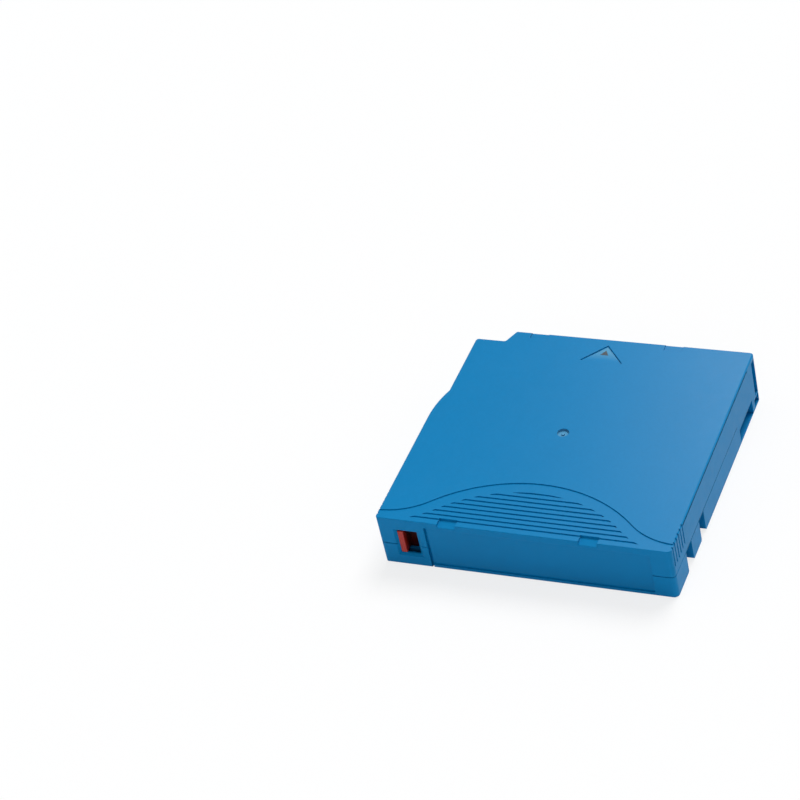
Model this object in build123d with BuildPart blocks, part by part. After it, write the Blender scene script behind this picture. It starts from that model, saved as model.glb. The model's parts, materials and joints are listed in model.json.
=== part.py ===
from build123d import *
import math
import os

# A single-reel data tape cartridge, in millimetres, lying flat on its underside.
# The label end is at -Y, the end that enters the drive first is at +Y and the tape door
# is on the left, at -X. The origin is the middle of the underside.

# Case
case_width = 105.4
case_depth = 102.0
case_height = 21.5
wall = 1.5
roof = 1.8
floor = 1.8
parting_height = 9.6
seam_height = 0.3
seam_depth = 0.5
edge_chamfer = 0.45
front_left_radius = 0.9
front_right_radius = 1.8
rear_corner_radius = 1.2
step_corner_radius = 0.8
running_gap = 0.3
seat_gap = 0.1

# Stepped corner and bulge on the door side
step_depth = 5.8
step_length = 11.2
step_slant = 2.5
waist_depth = 2.8
bulge_radius = 40.0
bulge_from_rear = 49.5

# Label panel, which belongs to the upper case
label_from_left = 17.2
label_from_right = 7.9
label_bottom = 1.6
label_from_top = 3.0
label_depth = 0.45
label_slot_width = 0.8
label_slot_depth = 1.0

# Write protect window
window_width = 7.2
window_from_left = 6.6
window_bottom = 5.1
window_from_top = 6.2
frame_width = 9.5
frame_from_left = 5.6
frame_bottom = 4.3
frame_from_top = 5.2
frame_depth = 0.9

# Grip area on the front of the roof, under a bell-shaped step
grip_drop = 0.35
bell_radius = 53.0
bell_crown = 24.6
bell_turn = 36.0
bell_foot = 3.7
groove_count = 9
groove_pitch = 2.16
groove_width = 0.8
groove_depth = 0.35
groove_first = 19.7
groove_inset = 4.4

# Shallow notches in the edges of the roof, the front ones deepest at the edge
edge_notch_width = 6.7
edge_notch_length = 3.1
edge_notch_depth = 1.1
edge_notch_lip_depth = 1.9
rear_edge_notch_depth = 0.6
edge_notch_spacing = 50.6

# Insertion arrow and gate mark
arrow_length = 8.6
arrow_width = 15.2
arrow_from_rear = 3.8
arrow_depth = 0.45
arrow_line_width = 0.5
arrow_line_depth = 0.45
gate_radius = 2.1
gate_depth = 0.9
gate_stub_radius = 0.6
gate_stub_height = 0.4

# Upright grip slots on both sides, and the shadow line under the right edge of the roof
side_slot_count = 6
side_slot_pitch = 2.16
side_slot_width = 0.7
side_slot_depth = 0.5
side_slot_bottom = 12.9
side_slot_from_front = 2.2
shadow_line_height = 0.6
shadow_line_depth = 0.7
shadow_line_drop = 0.5
shadow_line_front = 13.4
shadow_line_rear = 9.6

# Gripper notches in the lower case, open to the side and the underside
grip_notch_depth = 3.2
grip_notch_height = 9.2
front_notch_start = 12.7
front_notch_length = 6.0
rear_notch_start = 27.9
rear_notch_length = 5.2
grip_notch_flare = 0.9
pocket_wall = 1.0

# Right rear corner: skirt of the upper case, finger recess and guide recesses
skirt_length = 22.2
skirt_end = 4.5
skirt_bottom = 6.5
recess_from_rear = 8.4
recess_length = 16.0
recess_depth = 2.2
recess_bottom = 0.7
corner_wall = 1.0
corner_recess_length = 3.2
corner_recess_depth = 1.6
corner_recess_bottom = 4.8
corner_recess_from_top = 1.9
corner_foot_length = 5.0
corner_foot_bottom = 0.7
corner_foot_height = 4.2
corner_foot_depth = 2.6
corner_block = 4.6

# Reel
reel_offset = -1.45
opening_radius = 17.5
opening_bevel = 0.6
opening_ring_width = 2.0
opening_ring_height = 0.9
reel_side_gap = 0.55
reel_end_gap = 1.5
reel_head_gap = 1.6
flange_thickness = 1.0
hub_radius = 22.0
hub_wall = 2.6
boss_gap = 0.5
boss_bottom = 0.9
web_bottom = 2.6
tape_gap = 0.225
winding_gap = 0.05
tape_margin = 4.5
spigot_width = 0.9
spigot_depth = 1.2

# Teeth on the reel and on the brake
drive_tooth_count = 60
drive_tooth_height = 1.1
drive_tooth_base = 0.85
drive_tooth_crest = 0.25
drive_tooth_inner = 11.3
drive_tooth_outer = 16.3
brake_tooth_count = 24
brake_tooth_height = 1.2
brake_tooth_base = 1.3
brake_tooth_crest = 0.6
brake_tooth_inner = 11.5
brake_tooth_outer = 15.2

# Metal plate under the hub, and the release pad whose feet pass through it
plate_thickness = 0.7
plate_inner_radius = 4.0
plate_radius = 10.4
foot_count = 3
foot_radius = 1.5
foot_circle_radius = 7.4
foot_gap = 0.3
pad_radius = 9.8
pad_thickness = 1.1
pad_gap = 0.15

# Brake, its spring and the post it slides on
brake_radius = 15.6
brake_thickness = 1.5
brake_rim_width = 1.2
brake_rim_height = 1.4
brake_boss_radius = 5.2
brake_head_gap = 2.3
brake_socket_floor = 0.7
brake_travel = 1.8
post_gap = 0.2
post_arm_length = 7.6
post_arm_width = 1.6
post_base_radius = 4.9
post_base_height = 1.6
brake_spring_radius = 6.6
spring_wire_sides = 4
brake_spring_wire = 0.8
brake_spring_turns = 4
brake_spring_steps = 12

# Door, its track and its spring
door_thickness = 1.0
door_inset = 0.4
door_travel = 27.0
door_from_rear = 7.2
door_length = 29.4
opening_length = 28.8
opening_from_rear = 7.0
track_gap = 0.15
tongue_thickness = 0.4
tongue_height = 0.9
tongue_end_gap = 0.1
track_end_gap = 0.4
door_face_gap = 0.2
door_nose_width = 1.2
door_nose_height = 0.4
door_tail_length = 10.4
door_tail_height = 6.0
seat_thickness = 1.2
seat_height = 3.0
door_spring_radius = 1.0
door_spring_wire = 0.35
door_spring_turns = 12
door_spring_steps = 8
door_spring_height = 12.5
door_spring_end = 8.0
stop_thickness = 1.0

# Leader pin with its clip, the end of the tape and the two leaf springs
pin_from_door = 4.9
pin_from_rear = 13.0
pin_radius = 1.1
pin_collar_radius = 1.6
pin_collar_height = 0.5
pin_collar_gap = 0.2
pin_pocket_depth = 0.8
pin_pocket_gap = 0.25
pin_end_gap = 0.15
leader_thickness = 0.15
leader_gap = 0.05
clip_wall = 0.6
clip_margin = 1.825
clip_mouth = 2.4
leaf_thickness = 0.3
leaf_height = 1.4
leaf_reach = 1.8
leaf_bend_radius = 0.5
leaf_bow = 0.6
leaf_run = 4.2
leaf_rib_thickness = 0.9
leaf_rib_length = 2.6

# Write protect tab
tab_travel = 5.0
tab_width = 12.0
tab_thickness = 1.1
tab_from_left = 2.3
tab_setback = 4.0
tab_ridge_width = 2.0
tab_ridge_gap = 0.6
tab_guide_thickness = 0.9
tab_guide_height = 2.4

# Memory board, leaning over the front lower edge of the case
board_length = 14.0
board_width = 9.0
board_thickness = 0.6
board_from_right = 17.7
board_from_front = 6.5
board_height = 5.6
board_tilt = 45.0
board_rib_thickness = 1.2
board_rib_setback = 0.5
board_rib_spacing = 10.0
chip_size = 3.4
chip_thickness = 0.7

# Case screws, driven from the underside
screw_head_radius = 1.9
screw_head_height = 1.2
screw_head_recess = 0.5
screw_radius = 1.0
screw_gap = 0.05
screw_head_gap = 0.2
screw_length = 11.0
screw_slot_width = 0.5
screw_slot_length = 2.4
screw_slot_depth = 0.6
screw_boss_width = 5.2
screw_boss_split = 7.0
screw_hole_spare = 1.0
front_left_screw = (7.7, 10.0)
front_right_screw = (5.4, 4.8)
rear_left_screw = (21.2, 4.5)
rear_right_screw = (8.2, 7.5)

# Location holes in the underside, one round and one long
location_radius = 1.9
location_depth = 3.2
location_boss_wall = 1.2
location_from_rear = 4.4
round_hole_from_left = 29.8
long_hole_from_right = 19.4
long_hole_length = 6.0

# Places worked out from the sizes above
left_x = -case_width / 2
right_x = case_width / 2
front_y = -case_depth / 2
rear_y = case_depth / 2
inner_top = case_height - roof
label_top = case_height - label_from_top
label_left_x = left_x + label_from_left
label_width = case_width - label_from_left - label_from_right
skirt_front_y = rear_y - skirt_end - skirt_length
window_height = case_height - window_from_top - window_bottom
frame_height = case_height - frame_from_top - frame_bottom
waist_x = left_x + waist_depth
step_y = rear_y - step_depth
step_foot_x = waist_x + step_length
step_top_x = step_foot_x + step_slant
bulge_start_y = rear_y - bulge_from_rear
bulge_rise = math.sqrt(bulge_radius**2 - (bulge_radius - waist_depth) ** 2)
waist_front_y = bulge_start_y + bulge_rise

door_outer_x = waist_x + door_inset
door_inner_x = door_outer_x + door_thickness
door_middle_x = (door_outer_x + door_inner_x) / 2
door_rear_y = rear_y - door_from_rear
door_front_y = door_rear_y - door_length
opening_rear_y = rear_y - opening_from_rear
opening_front_y = opening_rear_y - opening_length
track_front_y = door_front_y - door_travel - track_end_gap
seat_y = door_front_y - door_tail_length
spring_x = waist_x
stop_y = front_y + door_spring_end

reel_x = reel_offset
flange_radius = min(reel_x - door_inner_x - reel_side_gap, rear_y - wall - reel_end_gap)
flange_bottom = floor + opening_ring_height + running_gap
flange_top = flange_bottom + flange_thickness
tape_bottom = flange_top + tape_gap
upper_flange_bottom = inner_top - reel_head_gap - flange_thickness
tape_width = upper_flange_bottom - tape_gap - tape_bottom
pack_radius = flange_radius - tape_margin
reel_boss_radius = opening_radius - boss_gap
hub_cavity_radius = hub_radius - hub_wall

pad_bottom = flange_top + pad_gap
brake_bottom = flange_top + brake_tooth_height + running_gap
brake_top = brake_bottom + brake_thickness
brake_boss_height = inner_top - post_base_height - brake_head_gap - brake_travel - brake_top
post_tip = brake_bottom + brake_socket_floor + brake_travel + post_gap

pin_x = door_inner_x + pin_from_door
pin_y = rear_y - pin_from_rear
pin_collar_z = floor + pin_collar_gap

screw_places = [
    (left_x + front_left_screw[0], front_y + front_left_screw[1]),
    (right_x - front_right_screw[0], front_y + front_right_screw[1]),
    (left_x + rear_left_screw[0], rear_y - rear_left_screw[1]),
    (right_x - rear_right_screw[0], rear_y - rear_right_screw[1]),
]

side_notches = [
    (front_y + front_notch_start, front_notch_length),
    (front_y + rear_notch_start, rear_notch_length),
]


def save(builder, name):
    """Names a finished piece and writes its file."""
    builder.part.label = name
    export_step(builder.part, f"parts/{name}.step")


def sharp_plan():
    """Outline of the case seen from above, before its corners are rounded."""
    with BuildSketch() as plan:
        with BuildLine():
            Polyline(
                (left_x, bulge_start_y),
                (left_x, front_y),
                (right_x, front_y),
                (right_x, rear_y),
                (step_top_x, rear_y),
                (step_foot_x, step_y),
                (waist_x, step_y),
                (waist_x, waist_front_y),
            )
            TangentArc((left_x, bulge_start_y), (waist_x, waist_front_y), tangent=(0, 1))
        make_face()
    return plan.sketch


def case_plan():
    """Outer outline of the case, with rounded upright corners."""
    with BuildSketch() as plan:
        add(sharp_plan())
        left_corner = plan.vertices().sort_by_distance((left_x, front_y))[0]
        fillet(left_corner, front_left_radius)
        right_corner = plan.vertices().sort_by_distance((right_x, front_y))[0]
        fillet(right_corner, front_right_radius)
        rear_corners = plan.vertices().group_by(Axis.Y)[-1]
        fillet(rear_corners, rear_corner_radius)
        foot = plan.vertices().sort_by_distance((step_foot_x, step_y))[0]
        fillet(foot, step_corner_radius)
        heel = plan.vertices().sort_by_distance((waist_x, step_y))[0]
        fillet(heel, rear_corner_radius)
    return plan.sketch


def inset_plan(amount):
    """Outline of the case moved inwards, with sharp corners."""
    with BuildSketch() as plan:
        add(sharp_plan())
        offset(amount=-amount)
    return plan.sketch


def grip_area(inset):
    """Plan of the grip area, drawn in from the bell-shaped step that bounds it."""
    arc_radius = bell_radius - inset
    centre_y = front_y + bell_crown - bell_radius
    turn_x = bell_turn * arc_radius / bell_radius
    turn_y = centre_y + math.sqrt(arc_radius**2 - turn_x**2)
    foot_y = front_y + bell_foot - inset
    outer_y = front_y - wall - inset
    with BuildSketch() as area:
        with BuildLine():
            ThreePointArc((-turn_x, turn_y), (0, centre_y + arc_radius), (turn_x, turn_y))
            TangentArc((turn_x, turn_y), (right_x, foot_y), tangent=(turn_y - centre_y, -turn_x))
            TangentArc((-turn_x, turn_y), (left_x, foot_y), tangent=(centre_y - turn_y, -turn_x))
            Polyline((left_x, foot_y), (left_x, outer_y), (right_x, outer_y), (right_x, foot_y))
        make_face()
    return area.sketch


def slab(x_span, y_span, z_span):
    """Plain block between two limits along each axis, made outside any builder's part."""
    width = x_span[1] - x_span[0]
    depth = y_span[1] - y_span[0]
    height = z_span[1] - z_span[0]
    place = Pos((x_span[0] + x_span[1]) / 2, (y_span[0] + y_span[1]) / 2, z_span[0])
    return place * Solid.make_box(width, depth, height, Plane((-width / 2, -depth / 2, 0)))


def tooth_planes(count, radius, height, face, shift=0.0):
    """Planes that look away from the reel's axis, one for each tooth, with local y along face."""
    planes = []
    for index in range(count):
        angle = 2 * math.pi * (index + shift) / count
        outwards = Vector(math.cos(angle), math.sin(angle), 0)
        sideways = Vector(0, 0, face).cross(outwards)
        origin = Vector(reel_x, 0, height) + outwards * radius
        planes.append(Plane(origin=origin, x_dir=sideways, z_dir=outwards))
    return planes


def tooth_profile(base, crest, height):
    """Section of one tooth, standing on the local x axis."""
    Polygon(
        (-base / 2, 0),
        (base / 2, 0),
        (crest / 2, height),
        (-crest / 2, height),
        align=None,
    )


def coil_path(radius, length, turns, steps):
    """Points of a coil about the local z axis."""
    count = turns * steps
    points = []
    for index in range(count + 1):
        angle = 2 * math.pi * index / steps
        rise = length * index / count
        points.append(Vector(radius * math.cos(angle), radius * math.sin(angle), rise))
    return points


os.makedirs("parts", exist_ok=True)

# Openings that both halves of the case share
with BuildPart() as shared_cuts:
    # window for the write protect tab, with its sloping frame
    with BuildSketch(Plane.XZ.offset(-front_y)):
        with Locations((left_x + frame_from_left, frame_bottom)):
            Rectangle(frame_width, frame_height, align=(Align.MIN, Align.MIN))
    with BuildSketch(Plane.XZ.offset(-front_y - frame_depth)):
        with Locations((left_x + window_from_left, window_bottom)):
            Rectangle(window_width, window_height, align=(Align.MIN, Align.MIN))
    loft()
    with BuildSketch(Plane.XZ.offset(-front_y)):
        with Locations((left_x + window_from_left, window_bottom)):
            Rectangle(window_width, window_height, align=(Align.MIN, Align.MIN))
    extrude(amount=-2 * wall)
    # tape opening, and the track that the door slides back along
    add(slab((left_x, door_inner_x + door_face_gap), (opening_front_y, opening_rear_y),
             (floor, inner_top)))
    add(slab((door_outer_x - track_gap, door_inner_x + door_face_gap),
             (track_front_y, opening_rear_y), (floor, inner_top)))
    # grooves in the floor and the roof for the door's tongues
    groove_half = tongue_thickness / 2 + track_gap
    add(slab((door_middle_x - groove_half, door_middle_x + groove_half),
             (track_front_y, opening_rear_y),
             (floor - tongue_height + tongue_end_gap, inner_top + tongue_height - tongue_end_gap)))
    # pockets for the ends of the leader pin, open towards the door
    pocket_half = pin_radius + pin_pocket_gap
    add(slab((waist_x - wall, pin_x), (pin_y - pocket_half, pin_y + pocket_half),
             (floor - pin_pocket_depth, inner_top + pin_pocket_depth)))
    with BuildSketch(Plane.XY.offset(floor - pin_pocket_depth)):
        with Locations((pin_x, pin_y)):
            Circle(pocket_half)
    extrude(amount=inner_top - floor + 2 * pin_pocket_depth)
    # guide recesses at the right rear corner, closed by a thin wall at the rear
    corner_y = rear_y - corner_wall
    add(slab((right_x - corner_recess_depth, right_x + wall),
             (corner_y - corner_recess_length, corner_y),
             (corner_recess_bottom, case_height - corner_recess_from_top)))
    add(slab((right_x - corner_foot_depth, right_x + wall),
             (corner_y - corner_foot_length, corner_y),
             (corner_foot_bottom, corner_foot_height)))
    # upright slot at the left end of the label place
    add(slab((label_left_x, label_left_x + label_slot_width),
             (front_y - wall, front_y + label_slot_depth), (-wall, label_top)))

# Upper case
with BuildPart() as upper_case:
    with BuildSketch(Plane.XY.offset(parting_height)):
        add(case_plan())
    extrude(amount=case_height - parting_height)
    chamfer(upper_case.edges().group_by(Axis.Z)[-1], edge_chamfer)
    # hollow under the roof
    with BuildSketch(Plane.XY.offset(parting_height)):
        add(inset_plan(wall))
    extrude(amount=inner_top - parting_height, mode=Mode.SUBTRACT)
    # label panel at the front and skirt at the right rear, both below the parting line
    add(slab((label_left_x, label_left_x + label_width), (front_y, front_y + wall),
             (label_bottom, parting_height)))
    add(slab((right_x - wall, right_x), (skirt_front_y, rear_y - skirt_end),
             (skirt_bottom, parting_height)))
    # solid right rear corner behind the guide recesses
    add(slab((right_x - corner_block, right_x - wall / 2),
             (corner_y - corner_foot_length - wall, rear_y - wall / 2),
             (parting_height, inner_top)))
    # screw bosses
    with BuildSketch(Plane.XY.offset(screw_boss_split)):
        with Locations(*screw_places):
            Rectangle(screw_boss_width, screw_boss_width)
    extrude(amount=inner_top - screw_boss_split)
    # post that guides the brake and stops it from turning
    with BuildSketch(Plane.XY.offset(inner_top)):
        with Locations((reel_x, 0)):
            Circle(post_base_radius)
    extrude(amount=-post_base_height)
    with BuildSketch(Plane.XY.offset(post_tip)):
        with Locations((reel_x, 0)):
            Rectangle(post_arm_length, post_arm_width)
            Rectangle(post_arm_width, post_arm_length)
    extrude(amount=inner_top - post_tip)
    # stop for the door spring, and the rib that holds the upper leaf spring
    add(slab((left_x + wall / 2, door_inner_x), (stop_y - stop_thickness, stop_y),
             (door_spring_height - seat_height / 2, door_spring_height + seat_height / 2)))
    leaf_wall_y = step_y - wall
    leaf_rib_y = leaf_wall_y - leaf_thickness - 2 * seat_gap
    leaf_rib_x = pin_x + leaf_reach
    add(slab((leaf_rib_x, leaf_rib_x + leaf_rib_length),
             (leaf_rib_y - leaf_rib_thickness, leaf_rib_y),
             (inner_top - pin_collar_height - pin_collar_gap - leaf_height - 2 * seat_gap,
              inner_top)))
    # label recess
    with BuildSketch(Plane.XZ.offset(-front_y)):
        with Locations((label_left_x, label_bottom)):
            Rectangle(label_width, label_top - label_bottom, align=(Align.MIN, Align.MIN))
    extrude(amount=-label_depth, mode=Mode.SUBTRACT)
    # lowered grip area in front of the bell-shaped step
    with BuildSketch(Plane.XY.offset(case_height)):
        add(grip_area(0))
    extrude(amount=-grip_drop, mode=Mode.SUBTRACT)
    # grip grooves, each as long as the inner outline of the grip area allows
    with BuildSketch(Plane.XY.offset(case_height - grip_drop)):
        for index in range(groove_count):
            with Locations((0, front_y + groove_first - index * groove_pitch)):
                Rectangle(case_width, groove_width)
        add(grip_area(groove_inset), mode=Mode.INTERSECT)
    extrude(amount=-groove_depth, mode=Mode.SUBTRACT)
    # notches in the front and rear edges of the roof, with floors that slope outwards
    for notch_x in (reel_x - edge_notch_spacing / 2, reel_x + edge_notch_spacing / 2):
        with BuildSketch(Plane.YZ.offset(notch_x - edge_notch_width / 2)):
            for edge_y, outwards, inner_depth, lip_depth in (
                (front_y, -1, edge_notch_depth, edge_notch_lip_depth),
                (rear_y, 1, rear_edge_notch_depth, rear_edge_notch_depth),
            ):
                Polygon(
                    (edge_y - outwards * edge_notch_length, case_height),
                    (edge_y - outwards * edge_notch_length, case_height - inner_depth),
                    (edge_y, case_height - lip_depth),
                    (edge_y + outwards * wall, case_height - lip_depth),
                    (edge_y + outwards * wall, case_height),
                    align=None,
                )
        extrude(amount=edge_notch_width, mode=Mode.SUBTRACT)
    # insertion arrow: a floor that slopes down to the tip, inside two engraved lines
    arrow_base_y = rear_y - arrow_from_rear - arrow_length
    slope = Vector(0, arrow_length, -arrow_depth)
    arrow_plane = Plane(origin=(0, arrow_base_y, case_height), x_dir=(1, 0, 0),
                        z_dir=Vector(1, 0, 0).cross(slope))
    with BuildSketch(arrow_plane):
        Polygon((-arrow_width / 2, 0), (arrow_width / 2, 0), (0, arrow_length), align=None)
    extrude(amount=roof, mode=Mode.SUBTRACT)
    with BuildSketch(Plane.XY.offset(case_height)):
        with BuildLine():
            Polyline((-arrow_width / 2, arrow_base_y), (0, arrow_base_y + arrow_length),
                     (arrow_width / 2, arrow_base_y))
        trace(line_width=arrow_line_width)
    extrude(amount=-arrow_line_depth, mode=Mode.SUBTRACT)
    # gate mark over the reel's axis
    with BuildSketch(Plane.XY.offset(case_height)):
        with Locations((reel_x, 0)):
            Circle(gate_radius)
    extrude(amount=-gate_depth, mode=Mode.SUBTRACT)
    with BuildSketch(Plane.XY.offset(case_height - gate_depth)):
        with Locations((reel_x, 0)):
            Circle(gate_stub_radius)
    extrude(amount=gate_stub_height)
    # upright grip slots on both sides
    slot_middle_y = front_y + side_slot_from_front + (side_slot_count - 1) * side_slot_pitch / 2
    slot_height = case_height - side_slot_bottom
    for side_x in (left_x, right_x):
        with BuildSketch(Plane.YZ.offset(side_x)):
            with Locations((slot_middle_y, side_slot_bottom + slot_height / 2)):
                with GridLocations(side_slot_pitch, slot_height, side_slot_count, 1):
                    Rectangle(side_slot_width, slot_height)
        extrude(amount=side_slot_depth, both=True, mode=Mode.SUBTRACT)
    # shadow line under the right edge of the roof
    shadow_top = case_height - shadow_line_drop
    add(slab((right_x - shadow_line_depth, right_x + wall),
             (front_y + shadow_line_front, rear_y - shadow_line_rear),
             (shadow_top - shadow_line_height, shadow_top)), mode=Mode.SUBTRACT)
    # pilot holes for the screws
    with BuildSketch(Plane.XY.offset(screw_boss_split)):
        with Locations(*screw_places):
            Circle(screw_radius + screw_gap)
    screw_tip = screw_head_recess + screw_head_height + screw_length
    extrude(amount=screw_tip + screw_hole_spare - screw_boss_split, mode=Mode.SUBTRACT)
    add(shared_cuts.part, mode=Mode.SUBTRACT)
save(upper_case, "upper_case")

# Lower case
with BuildPart() as lower_case:
    with BuildSketch():
        add(case_plan())
    extrude(amount=parting_height)
    chamfer(lower_case.edges().group_by(Axis.Z)[0], edge_chamfer)
    # hollow above the floor, and the narrow seam along the parting line
    with BuildSketch(Plane.XY.offset(floor)):
        add(inset_plan(wall))
    extrude(amount=parting_height - floor, mode=Mode.SUBTRACT)
    with BuildSketch(Plane.XY.offset(parting_height)):
        add(inset_plan(-wall))
        add(inset_plan(seam_depth), mode=Mode.SUBTRACT)
    extrude(amount=-seam_height, mode=Mode.SUBTRACT)
    # pockets behind the gripper notches, the finger recess and the right rear corner
    for notch_y, notch_length in side_notches:
        for inner_x, outer_x in ((right_x, right_x - wall), (left_x, left_x + wall)):
            pocket_x = inner_x - math.copysign(grip_notch_depth + pocket_wall, inner_x)
            add(slab((min(pocket_x, outer_x), max(pocket_x, outer_x)),
                     (notch_y - pocket_wall, notch_y + notch_length + pocket_wall),
                     (floor / 2, grip_notch_height)))
    recess_y = rear_y - recess_from_rear - recess_length
    add(slab((right_x - recess_depth - pocket_wall, right_x - wall),
             (recess_y - pocket_wall, recess_y + recess_length + pocket_wall),
             (floor / 2, skirt_bottom)))
    add(slab((right_x - corner_block, right_x - wall / 2),
             (corner_y - corner_foot_length - wall, rear_y - wall / 2),
             (floor / 2, parting_height)))
    # room for the label panel and the skirt of the upper case
    add(slab((label_left_x, label_left_x + label_width), (front_y - wall, front_y + wall),
             (label_bottom, parting_height)), mode=Mode.SUBTRACT)
    add(slab((right_x - wall, right_x + wall), (skirt_front_y, rear_y - skirt_end),
             (skirt_bottom, parting_height)), mode=Mode.SUBTRACT)
    # gripper notches on both sides, flared where they meet the underside
    for side_x in (left_x, right_x):
        with BuildSketch(Plane.YZ.offset(side_x)):
            for notch_y, notch_length in side_notches:
                with Locations((notch_y, 0)):
                    Rectangle(notch_length, grip_notch_height, align=(Align.MIN, Align.MIN))
                    Polygon((-grip_notch_flare, 0), (notch_length + grip_notch_flare, 0),
                            (notch_length, grip_notch_flare), (0, grip_notch_flare), align=None)
        extrude(amount=grip_notch_depth, both=True, mode=Mode.SUBTRACT)
    add(slab((right_x - recess_depth, right_x + wall), (recess_y, recess_y + recess_length),
             (recess_bottom, skirt_bottom)), mode=Mode.SUBTRACT)
    # screw bosses, and the ring that the reel rests on
    with BuildSketch():
        with Locations(*screw_places):
            Rectangle(screw_boss_width, screw_boss_width)
    extrude(amount=screw_boss_split)
    with BuildSketch():
        with Locations((reel_x, 0)):
            Circle(opening_radius + opening_ring_width)
    extrude(amount=floor + opening_ring_height)
    with BuildSketch():
        with Locations((reel_x, 0)):
            Circle(opening_radius)
    extrude(amount=floor + opening_ring_height, mode=Mode.SUBTRACT)
    round_edges = lower_case.edges().filter_by(GeomType.CIRCLE).group_by(Axis.Z)[0]
    chamfer(round_edges.filter_by(lambda edge: math.isclose(edge.radius, opening_radius)),
            opening_bevel)
    # rib that holds the lower leaf spring
    add(slab((leaf_rib_x, leaf_rib_x + leaf_rib_length),
             (leaf_rib_y - leaf_rib_thickness, leaf_rib_y),
             (floor, pin_collar_z + pin_collar_height + leaf_height + 2 * seat_gap)))
    # guides in front of and behind the write protect tab
    tab_front_y = front_y + wall + tab_setback
    tab_left_x = left_x + tab_from_left
    tab_span = (tab_left_x, tab_left_x + tab_width + tab_travel)
    for guide_y in (tab_front_y - running_gap - tab_guide_thickness,
                    tab_front_y + tab_thickness + running_gap):
        add(slab(tab_span, (guide_y, guide_y + tab_guide_thickness),
                 (floor, floor + tab_guide_height)))
    # sloping ribs under the memory board
    board_x = right_x - board_from_right
    board_y = front_y + board_from_front
    tilt = math.radians(board_tilt)
    rib_reach = (board_width / 2 - board_rib_setback) * math.cos(tilt)
    rib_top = board_height - board_thickness / math.cos(tilt) + rib_reach * math.tan(tilt)
    rib_foot_y = board_y - rib_reach + (rib_top - floor) / math.tan(tilt)
    for rib_x in (board_x - board_rib_spacing / 2, board_x + board_rib_spacing / 2):
        with BuildSketch(Plane.YZ.offset(rib_x - board_rib_thickness / 2)):
            Polygon(
                (board_y - rib_reach, floor),
                (rib_foot_y, floor),
                (board_y - rib_reach, rib_top),
                align=None,
            )
        extrude(amount=board_rib_thickness)
    # location holes near the rear edge
    location_y = rear_y - location_from_rear
    round_hole_x = left_x + round_hole_from_left
    long_hole_x = right_x - long_hole_from_right
    with BuildSketch():
        with Locations((round_hole_x, location_y)):
            Circle(location_radius + location_boss_wall)
        with Locations((long_hole_x, location_y)):
            SlotOverall(long_hole_length + 2 * location_boss_wall,
                        2 * (location_radius + location_boss_wall))
    extrude(amount=location_depth + location_boss_wall)
    with BuildSketch():
        with Locations((round_hole_x, location_y)):
            Circle(location_radius)
        with Locations((long_hole_x, location_y)):
            SlotOverall(long_hole_length, 2 * location_radius)
    extrude(amount=location_depth, mode=Mode.SUBTRACT)
    # screw holes with recesses for the heads
    with Locations(*[Location((x, y, 0), (180, 0, 0)) for x, y in screw_places]):
        CounterBoreHole(
            radius=screw_radius + screw_gap,
            counter_bore_radius=screw_head_radius + screw_head_gap,
            counter_bore_depth=screw_head_recess + screw_head_height,
            depth=screw_boss_split,
        )
    add(shared_cuts.part, mode=Mode.SUBTRACT)
save(lower_case, "lower_case")

# Case screws, as one group of separate solids
with BuildPart() as case_screws:
    with BuildSketch(Plane.XY.offset(screw_head_recess)):
        with Locations(*screw_places):
            Circle(screw_head_radius)
    extrude(amount=screw_head_height)
    with BuildSketch(Plane.XY.offset(screw_head_recess + screw_head_height)):
        with Locations(*screw_places):
            Circle(screw_radius)
    extrude(amount=screw_length)
    with BuildSketch(Plane.XY.offset(screw_head_recess)):
        with Locations(*screw_places):
            Rectangle(screw_slot_length, screw_slot_width)
            Rectangle(screw_slot_width, screw_slot_length)
    extrude(amount=screw_slot_depth, mode=Mode.SUBTRACT)
save(case_screws, "case_screws")

# Reel hub, with the lower flange, the drive teeth below and the brake teeth inside
with BuildPart() as reel_hub:
    with BuildSketch(Plane.XZ):
        with Locations((reel_x, 0)):
            with Locations((0, flange_bottom)):
                Rectangle(flange_radius, flange_thickness, align=(Align.MIN, Align.MIN))
            with Locations((0, web_bottom)):
                Rectangle(reel_boss_radius, flange_top - web_bottom,
                          align=(Align.MIN, Align.MIN))
            with Locations((drive_tooth_outer, boss_bottom)):
                Rectangle(reel_boss_radius - drive_tooth_outer, flange_top - boss_bottom,
                          align=(Align.MIN, Align.MIN))
            with Locations((drive_tooth_inner, boss_bottom + drive_tooth_height)):
                Rectangle(drive_tooth_outer - drive_tooth_inner,
                          flange_top - boss_bottom - drive_tooth_height,
                          align=(Align.MIN, Align.MIN))
            with Locations((hub_cavity_radius, flange_bottom)):
                Rectangle(hub_radius - hub_cavity_radius, upper_flange_bottom - flange_bottom,
                          align=(Align.MIN, Align.MIN))
    revolve(axis=Axis((reel_x, 0, 0), (0, 0, 1)))
    # drive teeth under the boss and brake teeth on the web
    with BuildSketch(*tooth_planes(drive_tooth_count, drive_tooth_inner,
                                   boss_bottom + drive_tooth_height, -1)):
        tooth_profile(drive_tooth_base, drive_tooth_crest, drive_tooth_height)
    extrude(amount=drive_tooth_outer - drive_tooth_inner + boss_gap / 2)
    with BuildSketch(*tooth_planes(brake_tooth_count, brake_tooth_inner, flange_top, 1)):
        tooth_profile(brake_tooth_base, brake_tooth_crest, brake_tooth_height)
    extrude(amount=brake_tooth_outer - brake_tooth_inner)
    # holes for the feet of the release pad
    with BuildSketch(Plane.XY.offset(web_bottom)):
        with Locations((reel_x, 0)):
            with PolarLocations(foot_circle_radius, foot_count):
                Circle(foot_radius + foot_gap)
    extrude(amount=flange_top - web_bottom, mode=Mode.SUBTRACT)
save(reel_hub, "reel_hub")

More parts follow.
